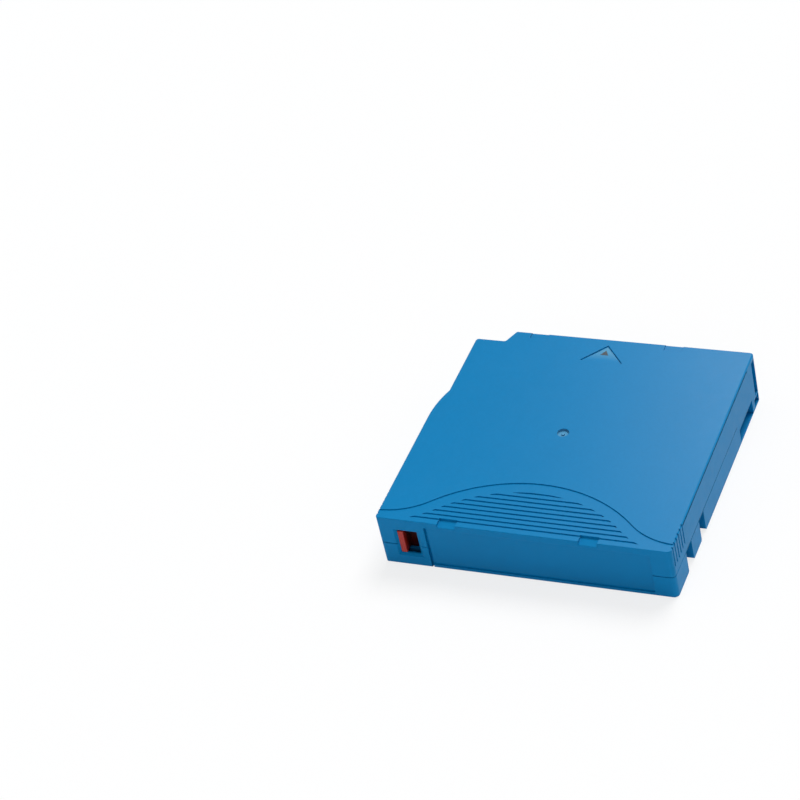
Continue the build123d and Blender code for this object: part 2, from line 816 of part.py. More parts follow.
# Upper flange, with a spigot that centres it in the hub
with BuildPart() as upper_flange:
    spigot_radius = hub_cavity_radius - seat_gap
    with BuildSketch(Plane.XY.offset(upper_flange_bottom)):
        with Locations((reel_x, 0)):
            Circle(flange_radius)
            Circle(spigot_radius - spigot_width, mode=Mode.SUBTRACT)
    extrude(amount=flange_thickness)
    with BuildSketch(Plane.XY.offset(upper_flange_bottom)):
        with Locations((reel_x, 0)):
            Circle(spigot_radius)
            Circle(spigot_radius - spigot_width, mode=Mode.SUBTRACT)
    extrude(amount=-spigot_depth)
save(upper_flange, "upper_flange")

# Metal plate that the drive's magnet holds
with BuildPart() as reel_plate:
    with BuildSketch(Plane.XY.offset(web_bottom - plate_thickness)):
        with Locations((reel_x, 0)):
            Circle(plate_radius)
            Circle(plate_inner_radius, mode=Mode.SUBTRACT)
            with PolarLocations(foot_circle_radius, foot_count):
                Circle(foot_radius + foot_gap, mode=Mode.SUBTRACT)
    extrude(amount=plate_thickness)
save(reel_plate, "reel_plate")

# Wound tape
with BuildPart() as tape_pack:
    with BuildSketch(Plane.XY.offset(tape_bottom)):
        with Locations((reel_x, 0)):
            Circle(pack_radius)
            Circle(hub_radius + winding_gap, mode=Mode.SUBTRACT)
    extrude(amount=tape_width)
save(tape_pack, "tape_pack")

# Release pad: a disc on the hub's web whose feet reach through the metal plate
with BuildPart() as release_pad:
    with BuildSketch(Plane.XY.offset(pad_bottom)):
        with Locations((reel_x, 0)):
            Circle(pad_radius)
    extrude(amount=pad_thickness)
    with BuildSketch(Plane.XY.offset(web_bottom - plate_thickness)):
        with Locations((reel_x, 0)):
            with PolarLocations(foot_circle_radius, foot_count):
                Circle(foot_radius)
    extrude(amount=pad_bottom - web_bottom + plate_thickness)
save(release_pad, "release_pad")

# Brake: a toothed button that slides on the post and can't turn
with BuildPart() as brake_button:
    with BuildSketch(Plane.XZ):
        with Locations((reel_x, 0)):
            with Locations((0, brake_bottom)):
                Rectangle(brake_radius, brake_thickness, align=(Align.MIN, Align.MIN))
            with Locations((brake_radius - brake_rim_width, brake_top)):
                Rectangle(brake_rim_width, brake_rim_height, align=(Align.MIN, Align.MIN))
            with Locations((0, brake_top)):
                Rectangle(brake_boss_radius, brake_boss_height, align=(Align.MIN, Align.MIN))
    revolve(axis=Axis((reel_x, 0, 0), (0, 0, 1)))
    with BuildSketch(*tooth_planes(brake_tooth_count, brake_tooth_inner, brake_bottom, -1,
                                   shift=0.5)):
        tooth_profile(brake_tooth_base, brake_tooth_crest, brake_tooth_height)
    extrude(amount=brake_tooth_outer - brake_tooth_inner)
    with BuildSketch(Plane.XY.offset(brake_bottom + brake_socket_floor)):
        with Locations((reel_x, 0)):
            Rectangle(post_arm_length + 2 * post_gap, post_arm_width + 2 * post_gap)
            Rectangle(post_arm_width + 2 * post_gap, post_arm_length + 2 * post_gap)
    extrude(amount=brake_thickness + brake_boss_height, mode=Mode.SUBTRACT)
save(brake_button, "brake_button")

# Brake spring between the button and the roof
with BuildPart() as brake_spring:
    spring_length = inner_top - brake_top - brake_spring_wire - 2 * seat_gap
    with BuildLine() as brake_coil:
        Polyline(*[Vector(reel_x, 0, brake_top + brake_spring_wire / 2 + seat_gap) + point
                   for point in coil_path(brake_spring_radius, spring_length,
                                          brake_spring_turns, brake_spring_steps)])
    with BuildSketch(Plane(origin=brake_coil.line @ 0, z_dir=brake_coil.line % 0)):
        RegularPolygon(brake_spring_wire / 2, spring_wire_sides)
    sweep(path=brake_coil.line, transition=Transition.RIGHT)
save(brake_spring, "brake_spring")

# Door: a sliding plate with tongues, a nose that the drive pushes, and a tail for its spring
with BuildPart() as door:
    add(slab((door_outer_x, door_inner_x), (door_front_y, door_rear_y),
             (floor + door_face_gap, inner_top - door_face_gap)))
    add(slab((door_middle_x - tongue_thickness / 2, door_middle_x + tongue_thickness / 2),
             (door_front_y, door_rear_y),
             (floor - tongue_height + 2 * tongue_end_gap,
              inner_top + tongue_height - 2 * tongue_end_gap)))
    add(slab((door_outer_x - door_nose_height, door_outer_x),
             (door_rear_y - door_nose_width, door_rear_y),
             (floor + door_face_gap, inner_top - door_face_gap)))
    add(slab((door_outer_x, door_inner_x), (seat_y, door_front_y),
             (door_spring_height - door_tail_height / 2,
              door_spring_height + door_tail_height / 2)))
    add(slab((spring_x - door_spring_radius, door_inner_x), (seat_y - seat_thickness, seat_y),
             (door_spring_height - seat_height / 2, door_spring_height + seat_height / 2)))
save(door, "door")

# Door spring between the door's tail and the stop on the upper case
with BuildPart() as door_spring:
    coil_radius = door_spring_radius - door_spring_wire / 2
    spring_front_y = stop_y + seat_gap + door_spring_wire / 2
    spring_rear_y = seat_y - seat_thickness - seat_gap - door_spring_wire / 2
    spring_plane = Plane(origin=(spring_x, spring_front_y, door_spring_height),
                         x_dir=(1, 0, 0), z_dir=(0, 1, 0))
    with BuildLine() as door_coil:
        Polyline(*[spring_plane.from_local_coords(point)
                   for point in coil_path(coil_radius, spring_rear_y - spring_front_y,
                                          door_spring_turns, door_spring_steps)])
    with BuildSketch(Plane(origin=door_coil.line @ 0, z_dir=door_coil.line % 0)):
        RegularPolygon(door_spring_wire / 2, spring_wire_sides)
    sweep(path=door_coil.line, transition=Transition.RIGHT)
save(door_spring, "door_spring")

# Leader pin: a turned steel pin with two collars
with BuildPart() as leader_pin:
    pin_bottom = floor - pin_pocket_depth + pin_end_gap
    pin_top = inner_top + pin_pocket_depth - pin_end_gap
    upper_collar_z = inner_top - pin_collar_gap - pin_collar_height
    with BuildSketch(Plane.XZ.offset(-pin_y)):
        with Locations((pin_x, pin_bottom)):
            Rectangle(pin_radius, pin_top - pin_bottom, align=(Align.MIN, Align.MIN))
        with Locations((pin_x, pin_collar_z), (pin_x, upper_collar_z)):
            Rectangle(pin_collar_radius, pin_collar_height, align=(Align.MIN, Align.MIN))
    revolve(axis=Axis((pin_x, pin_y, 0), (0, 0, 1)))
save(leader_pin, "leader_pin")

# Free end of the tape, from the wound pack to a loop around the pin
with BuildPart() as leader_tape:
    loop_radius = pin_radius + leader_gap
    leave_radius = pack_radius + running_gap / 2 + leader_thickness / 2
    pin_distance = math.hypot(pin_x - reel_x, pin_y)
    leave_angle = math.atan2(pin_y, pin_x - reel_x) + math.acos(leave_radius / pin_distance)
    leave_direction = Vector(math.cos(leave_angle), math.sin(leave_angle))
    leave_point = Vector(reel_x, 0) + leave_direction * leave_radius
    strip = Vector(pin_x, pin_y) - leave_point
    strip_direction = strip.normalized()
    with BuildSketch(Plane.XY.offset(tape_bottom)):
        with BuildLine():
            Line(leave_point, Vector(pin_x, pin_y) - strip_direction * loop_radius)
        trace(line_width=leader_thickness)
        with Locations((pin_x, pin_y)):
            Circle(loop_radius + leader_thickness)
            Circle(loop_radius, mode=Mode.SUBTRACT)
    extrude(amount=tape_width)
save(leader_tape, "leader_tape")

# Clip that clamps the tape on the pin, open where the tape leaves
with BuildPart() as pin_clip:
    clip_inner = loop_radius + leader_thickness + leader_gap
    mouth_angle = math.degrees(math.atan2(-strip.Y, -strip.X))
    clip_bottom = tape_bottom + clip_margin
    with BuildSketch(Plane.XY.offset(clip_bottom)):
        with Locations((pin_x, pin_y)):
            Circle(clip_inner + clip_wall)
            Circle(clip_inner, mode=Mode.SUBTRACT)
        with Locations(Location((pin_x, pin_y), mouth_angle)):
            Rectangle(2 * (clip_inner + clip_wall), clip_mouth,
                      align=(Align.MIN, Align.CENTER), mode=Mode.SUBTRACT)
    extrude(amount=tape_width - 2 * clip_margin)
save(pin_clip, "pin_clip")


# Leaf springs that hold the ends of the pin
def leaf_outline():
    """Bent strip along the rear wall and down past the door side of the pin."""
    leaf_y = leaf_wall_y - seat_gap - leaf_thickness / 2
    contact_x = pin_x - pin_radius - leader_gap - leaf_thickness / 2
    with BuildSketch() as outline:
        with BuildLine():
            FilletPolyline(
                (leaf_rib_x + leaf_rib_length, leaf_y),
                (contact_x + leaf_bow, leaf_y),
                (contact_x - leaf_bow, pin_y + leaf_run / 2),
                (contact_x, pin_y),
                (contact_x - leaf_bow, pin_y - leaf_run / 2),
                radius=leaf_bend_radius,
            )
        trace(line_width=leaf_thickness)
    return outline.sketch


with BuildPart() as lower_leaf_spring:
    with BuildSketch(Plane.XY.offset(pin_collar_z + pin_collar_height + seat_gap)):
        add(leaf_outline())
    extrude(amount=leaf_height)
save(lower_leaf_spring, "lower_leaf_spring")

with BuildPart() as upper_leaf_spring:
    with BuildSketch(Plane.XY.offset(upper_collar_z - seat_gap)):
        add(leaf_outline())
    extrude(amount=-leaf_height)
save(upper_leaf_spring, "upper_leaf_spring")

# Write protect tab: an upright plate with a finger ridge that stands in the window
with BuildPart() as write_protect_tab:
    tab_bottom = floor + running_gap
    tab_top = inner_top - running_gap
    add(slab((tab_left_x, tab_left_x + tab_width), (tab_front_y, tab_front_y + tab_thickness),
             (tab_bottom, tab_top)))
    ridge_left_x = left_x + window_from_left + seat_gap
    with BuildSketch(Plane.XZ.offset(-front_y - tab_ridge_gap)):
        with Locations((ridge_left_x, window_bottom + running_gap)):
            Rectangle(tab_ridge_width, window_height - 2 * running_gap,
                      align=(Align.MIN, Align.MIN))
    extrude(amount=-(tab_front_y - front_y - tab_ridge_gap))
save(write_protect_tab, "write_protect_tab")

# Memory board, leaning against its ribs, and the chip on it
board_plane = Plane(origin=(board_x, board_y, board_height), x_dir=(1, 0, 0),
                    z_dir=(0, math.sin(tilt), math.cos(tilt)))
with BuildPart() as memory_board:
    with BuildSketch(board_plane):
        Rectangle(board_length, board_width)
    extrude(amount=-board_thickness)
save(memory_board, "memory_board")

with BuildPart() as memory_chip:
    with BuildSketch(board_plane):
        Rectangle(chip_size, chip_size)
    extrude(amount=chip_thickness)
save(memory_chip, "memory_chip")
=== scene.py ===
import json
import math

import bmesh
import bpy
from bpy.props import FloatProperty, FloatVectorProperty, IntProperty, PointerProperty
from mathutils import Matrix, Vector


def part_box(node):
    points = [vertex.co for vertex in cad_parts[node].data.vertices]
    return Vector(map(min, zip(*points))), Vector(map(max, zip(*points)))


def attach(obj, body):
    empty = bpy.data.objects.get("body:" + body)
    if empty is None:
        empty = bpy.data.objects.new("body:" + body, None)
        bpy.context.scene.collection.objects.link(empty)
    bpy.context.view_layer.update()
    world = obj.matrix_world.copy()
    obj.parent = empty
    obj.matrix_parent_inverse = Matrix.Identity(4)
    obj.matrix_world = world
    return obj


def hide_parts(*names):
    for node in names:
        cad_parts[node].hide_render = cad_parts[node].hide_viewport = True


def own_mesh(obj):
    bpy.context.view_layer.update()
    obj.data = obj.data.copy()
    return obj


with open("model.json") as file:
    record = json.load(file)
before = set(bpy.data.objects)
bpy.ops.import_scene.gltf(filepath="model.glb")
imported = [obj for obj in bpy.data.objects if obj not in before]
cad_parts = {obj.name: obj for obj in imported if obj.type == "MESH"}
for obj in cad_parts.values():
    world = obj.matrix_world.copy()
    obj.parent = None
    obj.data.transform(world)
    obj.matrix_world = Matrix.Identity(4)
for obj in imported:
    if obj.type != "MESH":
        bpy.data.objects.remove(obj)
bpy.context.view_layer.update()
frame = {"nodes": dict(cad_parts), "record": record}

bl_info = {
    "name": "Data Tape Cartridge",
    "version": (1, 0, 0),
    "blender": (4, 5, 0),
    "location": "View3D > Sidebar > Cartridge",
    "description": "Finishes the frame of a tape cartridge: shells, reel, springs, screws and studio",
    "category": "Object",
}

MM = 0.001
UP = Vector((0.0, 0.0, 1.0))


# Property groups

def length(name, description, default_mm, low_mm=0.0):
    """A length property, given in millimetres."""
    return FloatProperty(name=name, description=description, default=default_mm * MM,
                         min=low_mm * MM, unit="LENGTH", precision=5)


def angle(name, description, default_degrees):
    """An angle property, given in degrees."""
    return FloatProperty(name=name, description=description, subtype="ANGLE",
                         default=math.radians(default_degrees))


def place(name, description, default):
    """A place property, in metres."""
    return FloatVectorProperty(name=name, description=description, size=3, default=default,
                               subtype="TRANSLATION", unit="LENGTH")


def towards(name, description, default):
    """A direction property."""
    return FloatVectorProperty(name=name, description=description, size=3, default=default,
                               subtype="DIRECTION")


def colour(name, description, default):
    """A linear colour property."""
    return FloatVectorProperty(name=name, description=description, subtype="COLOR", size=3,
                               min=0.0, max=1.0, default=default)


def factor(name, description, default, high=1.0):
    """A plain number from nought to high."""
    return FloatProperty(name=name, description=description, default=default, min=0.0,
                         max=high, subtype="FACTOR")


class CaseFinish(bpy.types.PropertyGroup):
    """Colours and grain of the moulded case."""

    shell: colour("Shell colour", "Moulded blue of both halves", (0.0, 0.2, 0.46))
    door: colour("Door colour", "Moulded blue of the sliding door", (0.0, 0.185, 0.44))
    tab: colour("Tab colour", "Red of the write protect tab", (0.42, 0.02, 0.012))
    # Painted sheen: this paler, greyer blue stands in for light mirrored by the floors of arrow and
    # gate.
    recess_sheen: colour("Recess colour", "Paler, duller blue on the floors of arrow and gate",
                 (0.08, 0.31, 0.52))
    # Painted shade: the slot under the roof and the seam are darkened to this share.
    gap_shade: factor("Gap shade", "Brightness of slot and seam as a share of the shell's", 0.22)
    roughness: factor("Shell roughness", "Roughness of the grained surface", 0.42)
    label_roughness: factor("Label roughness", "Roughness of the smooth label place", 0.3)
    tab_roughness: factor("Tab roughness", "Roughness of the tab", 0.3)
    specular: factor("Shell specular", "Strength of the shell's and the door's reflection", 0.08)
    grain: length("Grain size", "Width of one grain of the eroded surface", 0.35)
    grain_depth: length("Grain depth", "Height of the grain", 0.012)
    label_grain: factor("Label grain", "Share of the grain that the label place keeps", 0.15)
    # Painted shade: the tab's red darkens between these two distances behind its face.
    shade_start: length("Fade start", "Distance behind the tab's face where its red fades", 0.6)
    shade_end: length("Fade end", "Distance behind the tab's face where it is darkest", 2.6)
    edge_round: length("Edge rounding", "Radius at which moulded edges shade", 0.2)


class CaseAreas(bpy.types.PropertyGroup):
    """Places on the case that are smoother than the rest, paler by painted sheen, or darker by
    painted shade.
    """

    label_width: length("Label width", "Width of the smooth label place", 79.4)
    label_height: length("Label height", "Height of the smooth label place", 16.8)
    label_reach: length("Label reach", "How far in and out of its mount it is smooth", 0.3)
    arrow_from_rear: length("Arrow from rear", "Distance from its tip to the rear edge", 3.8)
    arrow_length: length("Arrow length", "Length of the insertion arrow", 8.6)
    arrow_width: length("Arrow width", "Width of the arrow's base", 15.2)
    gate_radius: length("Gate radius", "Radius of the gate mark over the hub", 2.1)
    side_start: length("Side start", "Distance from the front to where slot and seam begin", 14.0)
    side_skin: length("Side skin", "How deep the right side keeps its blue", 0.05)
    # The slot and seam boxes below mark where painted shade falls.
    slot_depth: length("Slot depth", "How deep the slot under the roof is dark", 0.9)
    slot_top: length("Slot top", "Distance from the roof to the slot", 0.48)
    slot_bottom: length("Slot bottom", "Distance from the roof to the slot's lower edge", 1.2)
    slot_from_rear: length("Slot from rear", "Distance from the slot's end to the rear", 9.0)
    seam_depth: length("Seam depth", "How deep the seam of the halves is dark", 0.7)
    seam_bottom: length("Seam bottom", "Height of the seam's lower edge", 9.1)
    seam_top: length("Seam top", "Height of the seam's upper edge", 10.0)
    seam_from_rear: length("Seam from rear", "Distance from the seam's end to the rear", 20.0)


class ReelFinish(bpy.types.PropertyGroup):
    """Colours of the reel, the brake and the tape."""

    hub: colour("Hub colour", "Moulded grey of the hub and the upper flange", (0.6, 0.62, 0.64))
    brake: colour("Brake colour", "Moulded white of the brake", (0.76, 0.75, 0.71))
    pad: colour("Pad colour", "Black of the release pad and the pin's clip", (0.03, 0.03, 0.033))
    tape: colour("Tape colour", "Dark coat of the tape", (0.028, 0.022, 0.02))
    turn_pitch: length("Turn pitch", "Spacing of the bands seen on the wound edge", 0.35)


class MetalFinish(bpy.types.PropertyGroup):
    """Colours of the metal pieces."""

    plate: colour("Plate colour", "Stamped steel of the reel plate", (0.58, 0.58, 0.59))
    pin: colour("Pin colour", "Polished steel of the leader pin", (0.62, 0.62, 0.63))
    leaf: colour("Leaf colour", "Rolled steel of the leaf springs", (0.5, 0.49, 0.47))
    wire: colour("Wire colour", "Drawn steel of the coiled springs", (0.55, 0.54, 0.52))
    zinc: colour("Screw colour", "Zinc coat of the case screws", (0.42, 0.42, 0.43))


class MemoryFinish(bpy.types.PropertyGroup):
    """Colours and copper loops of the memory board."""

    board: colour("Board colour", "Darker green of the board", (0.01, 0.075, 0.03))
    board_pale: colour("Pale board colour", "Paler green of the board", (0.02, 0.12, 0.05))
    copper: colour("Copper colour", "Copper under the green", (0.25, 0.2, 0.06))
    chip: colour("Chip colour", "Moulded black of the chip", (0.02, 0.02, 0.021))
    loop_pitch: length("Loop pitch", "Spacing of the aerial's loops", 0.5)
    loops_start: length("Loops start", "Distance from the edge to the outer loop", 0.5)
    loops_end: length("Loops end", "Distance from the edge to the inner loop", 2.2)


class SpringSizes(bpy.types.PropertyGroup):
    """Sizes of the two coiled springs."""

    brake_wire: length("Brake spring wire", "Wire diameter", 0.8)
    brake_turns: factor("Brake spring turns", "Turns of wire", 5.5, 20.0)
    door_wire: length("Door spring wire", "Wire diameter", 0.35)
    door_turns: factor("Door spring turns", "Turns of wire", 34.0, 80.0)
    wire_sides: IntProperty(name="Wire sides", description="Facets round the wire",
                            default=10, min=6, max=24)
    turn_steps: IntProperty(name="Turn steps", description="Facets along one turn",
                            default=24, min=12, max=64)


class ScrewSizes(bpy.types.PropertyGroup):
    """Sizes of the case screws."""

    head_round: length("Head rounding", "How far the head's rim curves in", 0.35)
    recess_radius: length("Recess radius", "Radius of the cross recess", 1.15)
    recess_width: length("Recess width", "Width of one slot of the cross", 0.5)
    recess_depth: length("Recess depth", "Depth of the cross recess", 0.75)
    recess_floor: factor("Recess floor", "Size of the recess floor as a share of its mouth", 0.6)
    thread_pitch: length("Thread pitch", "Rise of the thread in one turn", 0.9, 0.2)
    thread_depth: length("Thread depth", "Height of the thread", 0.22)
    tip_length: length("Tip length", "Length of the tapering tip", 1.4)
    tip_width: factor("Tip width", "Width of the tip's end as a share of the shank", 0.25)
    facets: IntProperty(name="Facets", description="Facets round the screw",
                        default=32, min=12, max=64)
    thread_rings: IntProperty(name="Thread rings", description="Rings in one turn of the thread",
                              default=4, min=4, max=16)


class MarkSizes(bpy.types.PropertyGroup):
    """The printed triangle inside the insertion arrow."""

    width: length("Mark width", "Width of the triangle's base", 3.1)
    height: length("Mark height", "Height of the triangle", 2.7)
    from_rear: length("Mark from rear", "Distance from its tip to the rear edge", 5.9)
    thickness: length("Ink thickness", "Height of the print", 0.015)
    ink: colour("Ink", "Dark grey print", (0.03, 0.045, 0.06))


class StudioSettings(bpy.types.PropertyGroup):
    """Camera, floor and lights."""

    camera_place: place("Camera place", "Where the camera stands", (0.3146, -0.6554, 0.6395))
    azimuth: angle("Azimuth", "Turn of the camera round the object", 29.84)
    elevation: angle("Elevation", "Height of the camera as an angle", 38.94)
    roll: angle("Roll", "Turn of the camera about its own line", 13.94)
    focal_pixels: FloatProperty(name="Focal length in pixels",
                                description="Focal length for an image 800 pixels wide",
                                default=2757.0, min=100.0)
    floor: colour("Floor colour", "Pale floor", (0.95, 0.95, 0.95))
    floor_radius: length("Floor radius", "Radius of the round floor", 6000.0)
    floor_white: factor("Floor white", "How far the camera sees plain white in place of shadow",
                        0.78)
    key: factor("Key light", "Sun from the rear right", 2.3, 10.0)
    key_from: towards("Key direction", "Direction of the key light", (0.15, 0.5, 0.85))
    fill: factor("Fill light", "Weak cool sun from the front", 0.22, 10.0)
    fill_from: towards("Fill direction", "Direction of the fill light", (0.0, -0.9, 0.45))
    fill_tint: colour("Fill tint", "Cool colour of the fill light", (0.35, 0.7, 1.0))
    sun_width: angle("Sun width", "Angle that each sun fills, which softens its shadow", 30.0)
    sheen: factor("Sheen light", "Power of the softbox behind the right side", 2.0, 50.0)
    sheen_place: place("Softbox place", "Where the softbox stands", (0.07, 0.24, 0.22))
    sheen_aim: place("Softbox aim", "What the softbox points at", (0.03, 0.02, 0.02))
    sheen_width: length("Softbox width", "Width of the softbox", 260.0)
    sheen_height: length("Softbox height", "Height of the softbox", 200.0)
    ambient: factor("Ambient", "Light from all round", 0.5)
    overhead: factor("Overhead", "Light of the sky above, as seen and mirrored", 0.2)
    white_to: factor("White to", "Height up to which the seen sky is white", 0.15)
    dim_from: factor("Dim from", "Height from which it has the overhead light", 0.45)


# Node helpers

class NodeBuilder:
    """Adds and joins the nodes of one tree."""

    def __init__(self, tree):
        self.tree = tree

    def feed(self, socket, value):
        """Sets a socket's value or links it."""
        if isinstance(value, bpy.types.NodeSocket):
            self.tree.links.new(value, socket)
        else:
            socket.default_value = value

    def node(self, kind, inputs=None, **settings):
        """A new node. An input's value is a constant or the socket that feeds it."""
        made = self.tree.nodes.new(kind)
        for key, value in settings.items():
            setattr(made, key, value)
        for key, value in (inputs or {}).items():
            self.feed(made.inputs[key], value)
        return made

    def maths(self, operation, *values):
        """The result of a Math node."""
        made = self.node("ShaderNodeMath", operation=operation)
        for socket, value in zip(made.inputs, values):
            self.feed(socket, value)
        return made.outputs[0]

    def spread(self, value, low, high, start=0.0, end=1.0):
        """Value moved from the range start..end to low..high."""
        made = self.node("ShaderNodeMapRange", {
            "Value": value, "From Min": start, "From Max": end, "To Min": low, "To Max": high})
        return made.outputs["Result"]

    def seen(self):
        """One for the camera's rays and for mirrored and passed ones, else nought."""
        path = self.node("ShaderNodeLightPath")
        bent = self.maths("MAXIMUM", path.outputs["Is Glossy Ray"],
                          path.outputs["Is Transmission Ray"])
        return self.maths("MAXIMUM", path.outputs["Is Camera Ray"], bent)


class ShaderNodes(NodeBuilder):
    """Builds one material on the piece's own coordinates."""

    def __init__(self, name):
        self.material = bpy.data.materials.new(name)
        self.material.use_nodes = True
        super().__init__(self.material.node_tree)
        self.tree.nodes.clear()
        self.output = self.node("ShaderNodeOutputMaterial")
        self.place = self.node("ShaderNodeTexCoord").outputs["Object"]

    def axes(self):
        """The x, y and z of the place on the piece."""
        split = self.node("ShaderNodeSeparateXYZ", {"Vector": self.place})
        return split.outputs["X"], split.outputs["Y"], split.outputs["Z"]

    def noise(self, size, detail=2.0, vector=None):
        """Noise whose features are about size metres wide."""
        made = self.node("ShaderNodeTexNoise", {
            "Vector": vector or self.place, "Scale": 1.0 / size, "Detail": detail})
        return made.outputs["Fac"]

    def bands(self, value, size, detail, roughness=0.5):
        """Noise along one value only, whose bands are about size metres wide."""
        made = self.node("ShaderNodeTexNoise", {
            "W": value, "Scale": 1.0 / size, "Detail": detail, "Roughness": roughness},
            noise_dimensions="1D")
        return made.outputs["Fac"]

    def reach(self, x, y, centre):
        """Distance from the upright line through centre."""
        squares = [self.maths("POWER", self.maths("SUBTRACT", value, middle), 2.0)
                   for value, middle in ((x, centre.x), (y, centre.y))]
        return self.maths("SQRT", self.maths("ADD", *squares))

    def mix(self, share, first, second):
        """Colour mixed from first to second."""
        made = self.node("ShaderNodeMix", {"Factor": share}, data_type="RGBA")
        self.feed(made.inputs["A"], first)
        self.feed(made.inputs["B"], second)
        return made.outputs["Result"]

    def rounded(self, radius):
        """Normal that rounds the edges of a piece."""
        made = self.node("ShaderNodeBevel", {"Radius": radius}, samples=6)
        return made.outputs["Normal"]

    def bump(self, height, depth, strength, normal):
        """Normal raised by height, where a height of one is depth metres."""
        made = self.node("ShaderNodeBump", {
            "Height": height, "Distance": depth, "Strength": strength, "Normal": normal})
        return made.outputs["Normal"]

    def surface(self, **inputs):
        """Ends the material in one Principled shader."""
        shader = self.node("ShaderNodeBsdfPrincipled", {
            key.replace("_", " "): value for key, value in inputs.items()})
        self.feed(self.output.inputs["Surface"], shader.outputs["BSDF"])
        return self.material


def shade(rgb, amount=1.0):
    """A colour made lighter or darker, with full opacity."""
    return (*[min(1.0, channel * amount) for channel in rgb], 1.0)


# Materials

CLOUD_SIZE = 30.0 * MM
BLOTCH_SIZE = 1.1 * MM
GLOSS_SIZE = 4.0 * MM


def moulded_colour(n, rgb, most, cover=1.0):
    """A colour with faint flow clouds, and small paler blotches, up to the share called most.

    Cover is one where there are blotches and nought where there are none."""
    clouds = n.spread(n.noise(CLOUD_SIZE, 3.0), 0.3, 0.7, 0.3, 0.7)
    clouded = n.mix(clouds, shade(rgb, 0.96), shade(rgb, 1.04))
    blotches = n.spread(n.noise(BLOTCH_SIZE, 2.0), 0.0, most, 0.35, 0.65)
    return n.mix(n.maths("MULTIPLY", blotches, cover), clouded, shade(rgb, 1.25))


def moulded(name, rgb, roughness, grain, depth, edge, specular=0.3, painted_shade=None):
    """Moulded plastic with a fine eroded grain and faint flow clouds.

    Given a pair of places along y, it darkens from the first to the second; this darkening is painted
    shade, as falls deep inside a hollow."""
    n = ShaderNodes(name)
    mixed = moulded_colour(n, rgb, 0.16)
    # Painted shade: darker along y, as shade falls deep inside a hollow.
    if painted_shade is not None:
        y = n.axes()[1]
        mixed = n.mix(n.spread(y, 0.0, 1.0, *painted_shade), mixed, shade(rgb, 0.12))
    gloss = n.spread(n.noise(GLOSS_SIZE, 3.0), roughness - 0.04, roughness + 0.05, 0.3, 0.7)
    normal = n.bump(n.noise(grain, 3.0), depth, 1.0, n.rounded(edge))
    return n.surface(Base_Color=mixed, Roughness=gloss, Normal=normal,
                     Specular_IOR_Level=specular)


def within(n, axes, box):
    """One inside a box, else nought."""
    inside = 1.0
    for value, low, high in zip(axes, *box):
        above = n.maths("GREATER_THAN", value, low)
        below = n.maths("LESS_THAN", value, high)
        inside = n.maths("MULTIPLY", inside, n.maths("MULTIPLY", above, below))
    return inside


def sunken_floors(n, axes, arrow, gate):
    """One on the floors of the arrow, a triangle, and of the gate, a disc, else nought."""
    x, y, z = axes
    tip, reach, width = arrow
    down = n.maths("SUBTRACT", tip.y, y)
    side = n.maths("MULTIPLY", down, width / (2.0 * reach))
    across = n.maths("ABSOLUTE", n.maths("SUBTRACT", x, tip.x))
    triangle = n.maths("MULTIPLY", n.maths("LESS_THAN", across, side),
                       n.maths("LESS_THAN", down, reach))
    centre, radius = gate
    disc = n.maths("LESS_THAN", n.reach(x, y, centre), radius)
    rim = tip.z - 0.05 * MM
    floor = tip.z - 0.3 * MM
    lowest = tip.z - 1.1 * MM
    sunk = n.maths("MULTIPLY", n.spread(z, 0.0, 1.0, rim, floor),
                   n.maths("GREATER_THAN", z, lowest))
    return n.maths("MULTIPLY", sunk, n.maths("MAXIMUM", triangle, disc))


def case_material(finish, label_box, arrow, gate, gaps):
    """Blue shell, smoother on the label place, with a painted sheen that makes the floors of arrow
    and gate paler.

    What lies inside one of the boxes called gaps is darkened by painted shade."""
    n = ShaderNodes("moulded_case_blue")
    rgb = finish.shell
    axes = n.axes()
    label = within(n, axes, label_box)
    mixed = moulded_colour(n, rgb, 0.14, n.maths("SUBTRACT", 1.0, label))
    # Painted sheen: the floors of arrow and gate get a paler colour in place of mirrored light.
    mixed = n.mix(sunken_floors(n, axes, arrow, gate), mixed, shade(finish.recess_sheen))
    for box in gaps:
        # Painted shade in the slot and the seam.
        mixed = n.mix(within(n, axes, box), mixed, shade(rgb, finish.gap_shade))
    rough = n.spread(label, finish.roughness, finish.label_roughness)
    gloss = n.maths("ADD", rough, n.spread(n.noise(GLOSS_SIZE, 3.0), -0.02, 0.03, 0.3, 0.7))
    kept = n.spread(label, 1.0, finish.label_grain)
    relief = n.maths("MULTIPLY", n.noise(finish.grain, 3.0), kept)
    normal = n.bump(relief, finish.grain_depth, 1.0, n.rounded(finish.edge_round))
    return n.surface(Base_Color=mixed, Roughness=gloss, Normal=normal,
                     Specular_IOR_Level=finish.specular)


def steel(name, rgb, roughness, finer, size, depth, edge):
    """Metal with fine lines, which are as many times finer along each axis as finer says."""
    n = ShaderNodes(name)
    mapping = n.node("ShaderNodeMapping", {"Vector": n.place, "Scale": finer})
    lines = n.noise(size, 2.0, mapping.outputs["Vector"])
    mixed = n.mix(n.spread(lines, 0.0, 1.0, 0.3, 0.7), shade(rgb, 0.88), shade(rgb, 1.05))
    gloss = n.spread(n.noise(1.5 * MM, 3.0), roughness - 0.06, roughness + 0.08, 0.3, 0.7)
    normal = n.bump(lines, depth, 0.6, n.rounded(edge))
    return n.surface(Base_Color=mixed, Metallic=1.0, Roughness=gloss, Normal=normal)


def turned(name, rgb, roughness, centre, pitch, edge, metallic=1.0):
    """Surface with rings about an upright axis, as turned metal or wound film has."""
    n = ShaderNodes(name)
    x, y, _ = n.axes()
    rings = n.bands(n.reach(x, y, centre), pitch, 4.0, roughness=0.65)
    mixed = n.mix(n.spread(rings, 0.0, 1.0, 0.3, 0.7), shade(rgb, 0.75), shade(rgb, 1.3))
    gloss = n.spread(rings, roughness - 0.07, roughness + 0.1, 0.3, 0.7)
    normal = n.bump(rings, 0.03 * MM, 0.7, n.rounded(edge))
    return n.surface(Base_Color=mixed, Metallic=metallic, Roughness=gloss, Normal=normal)


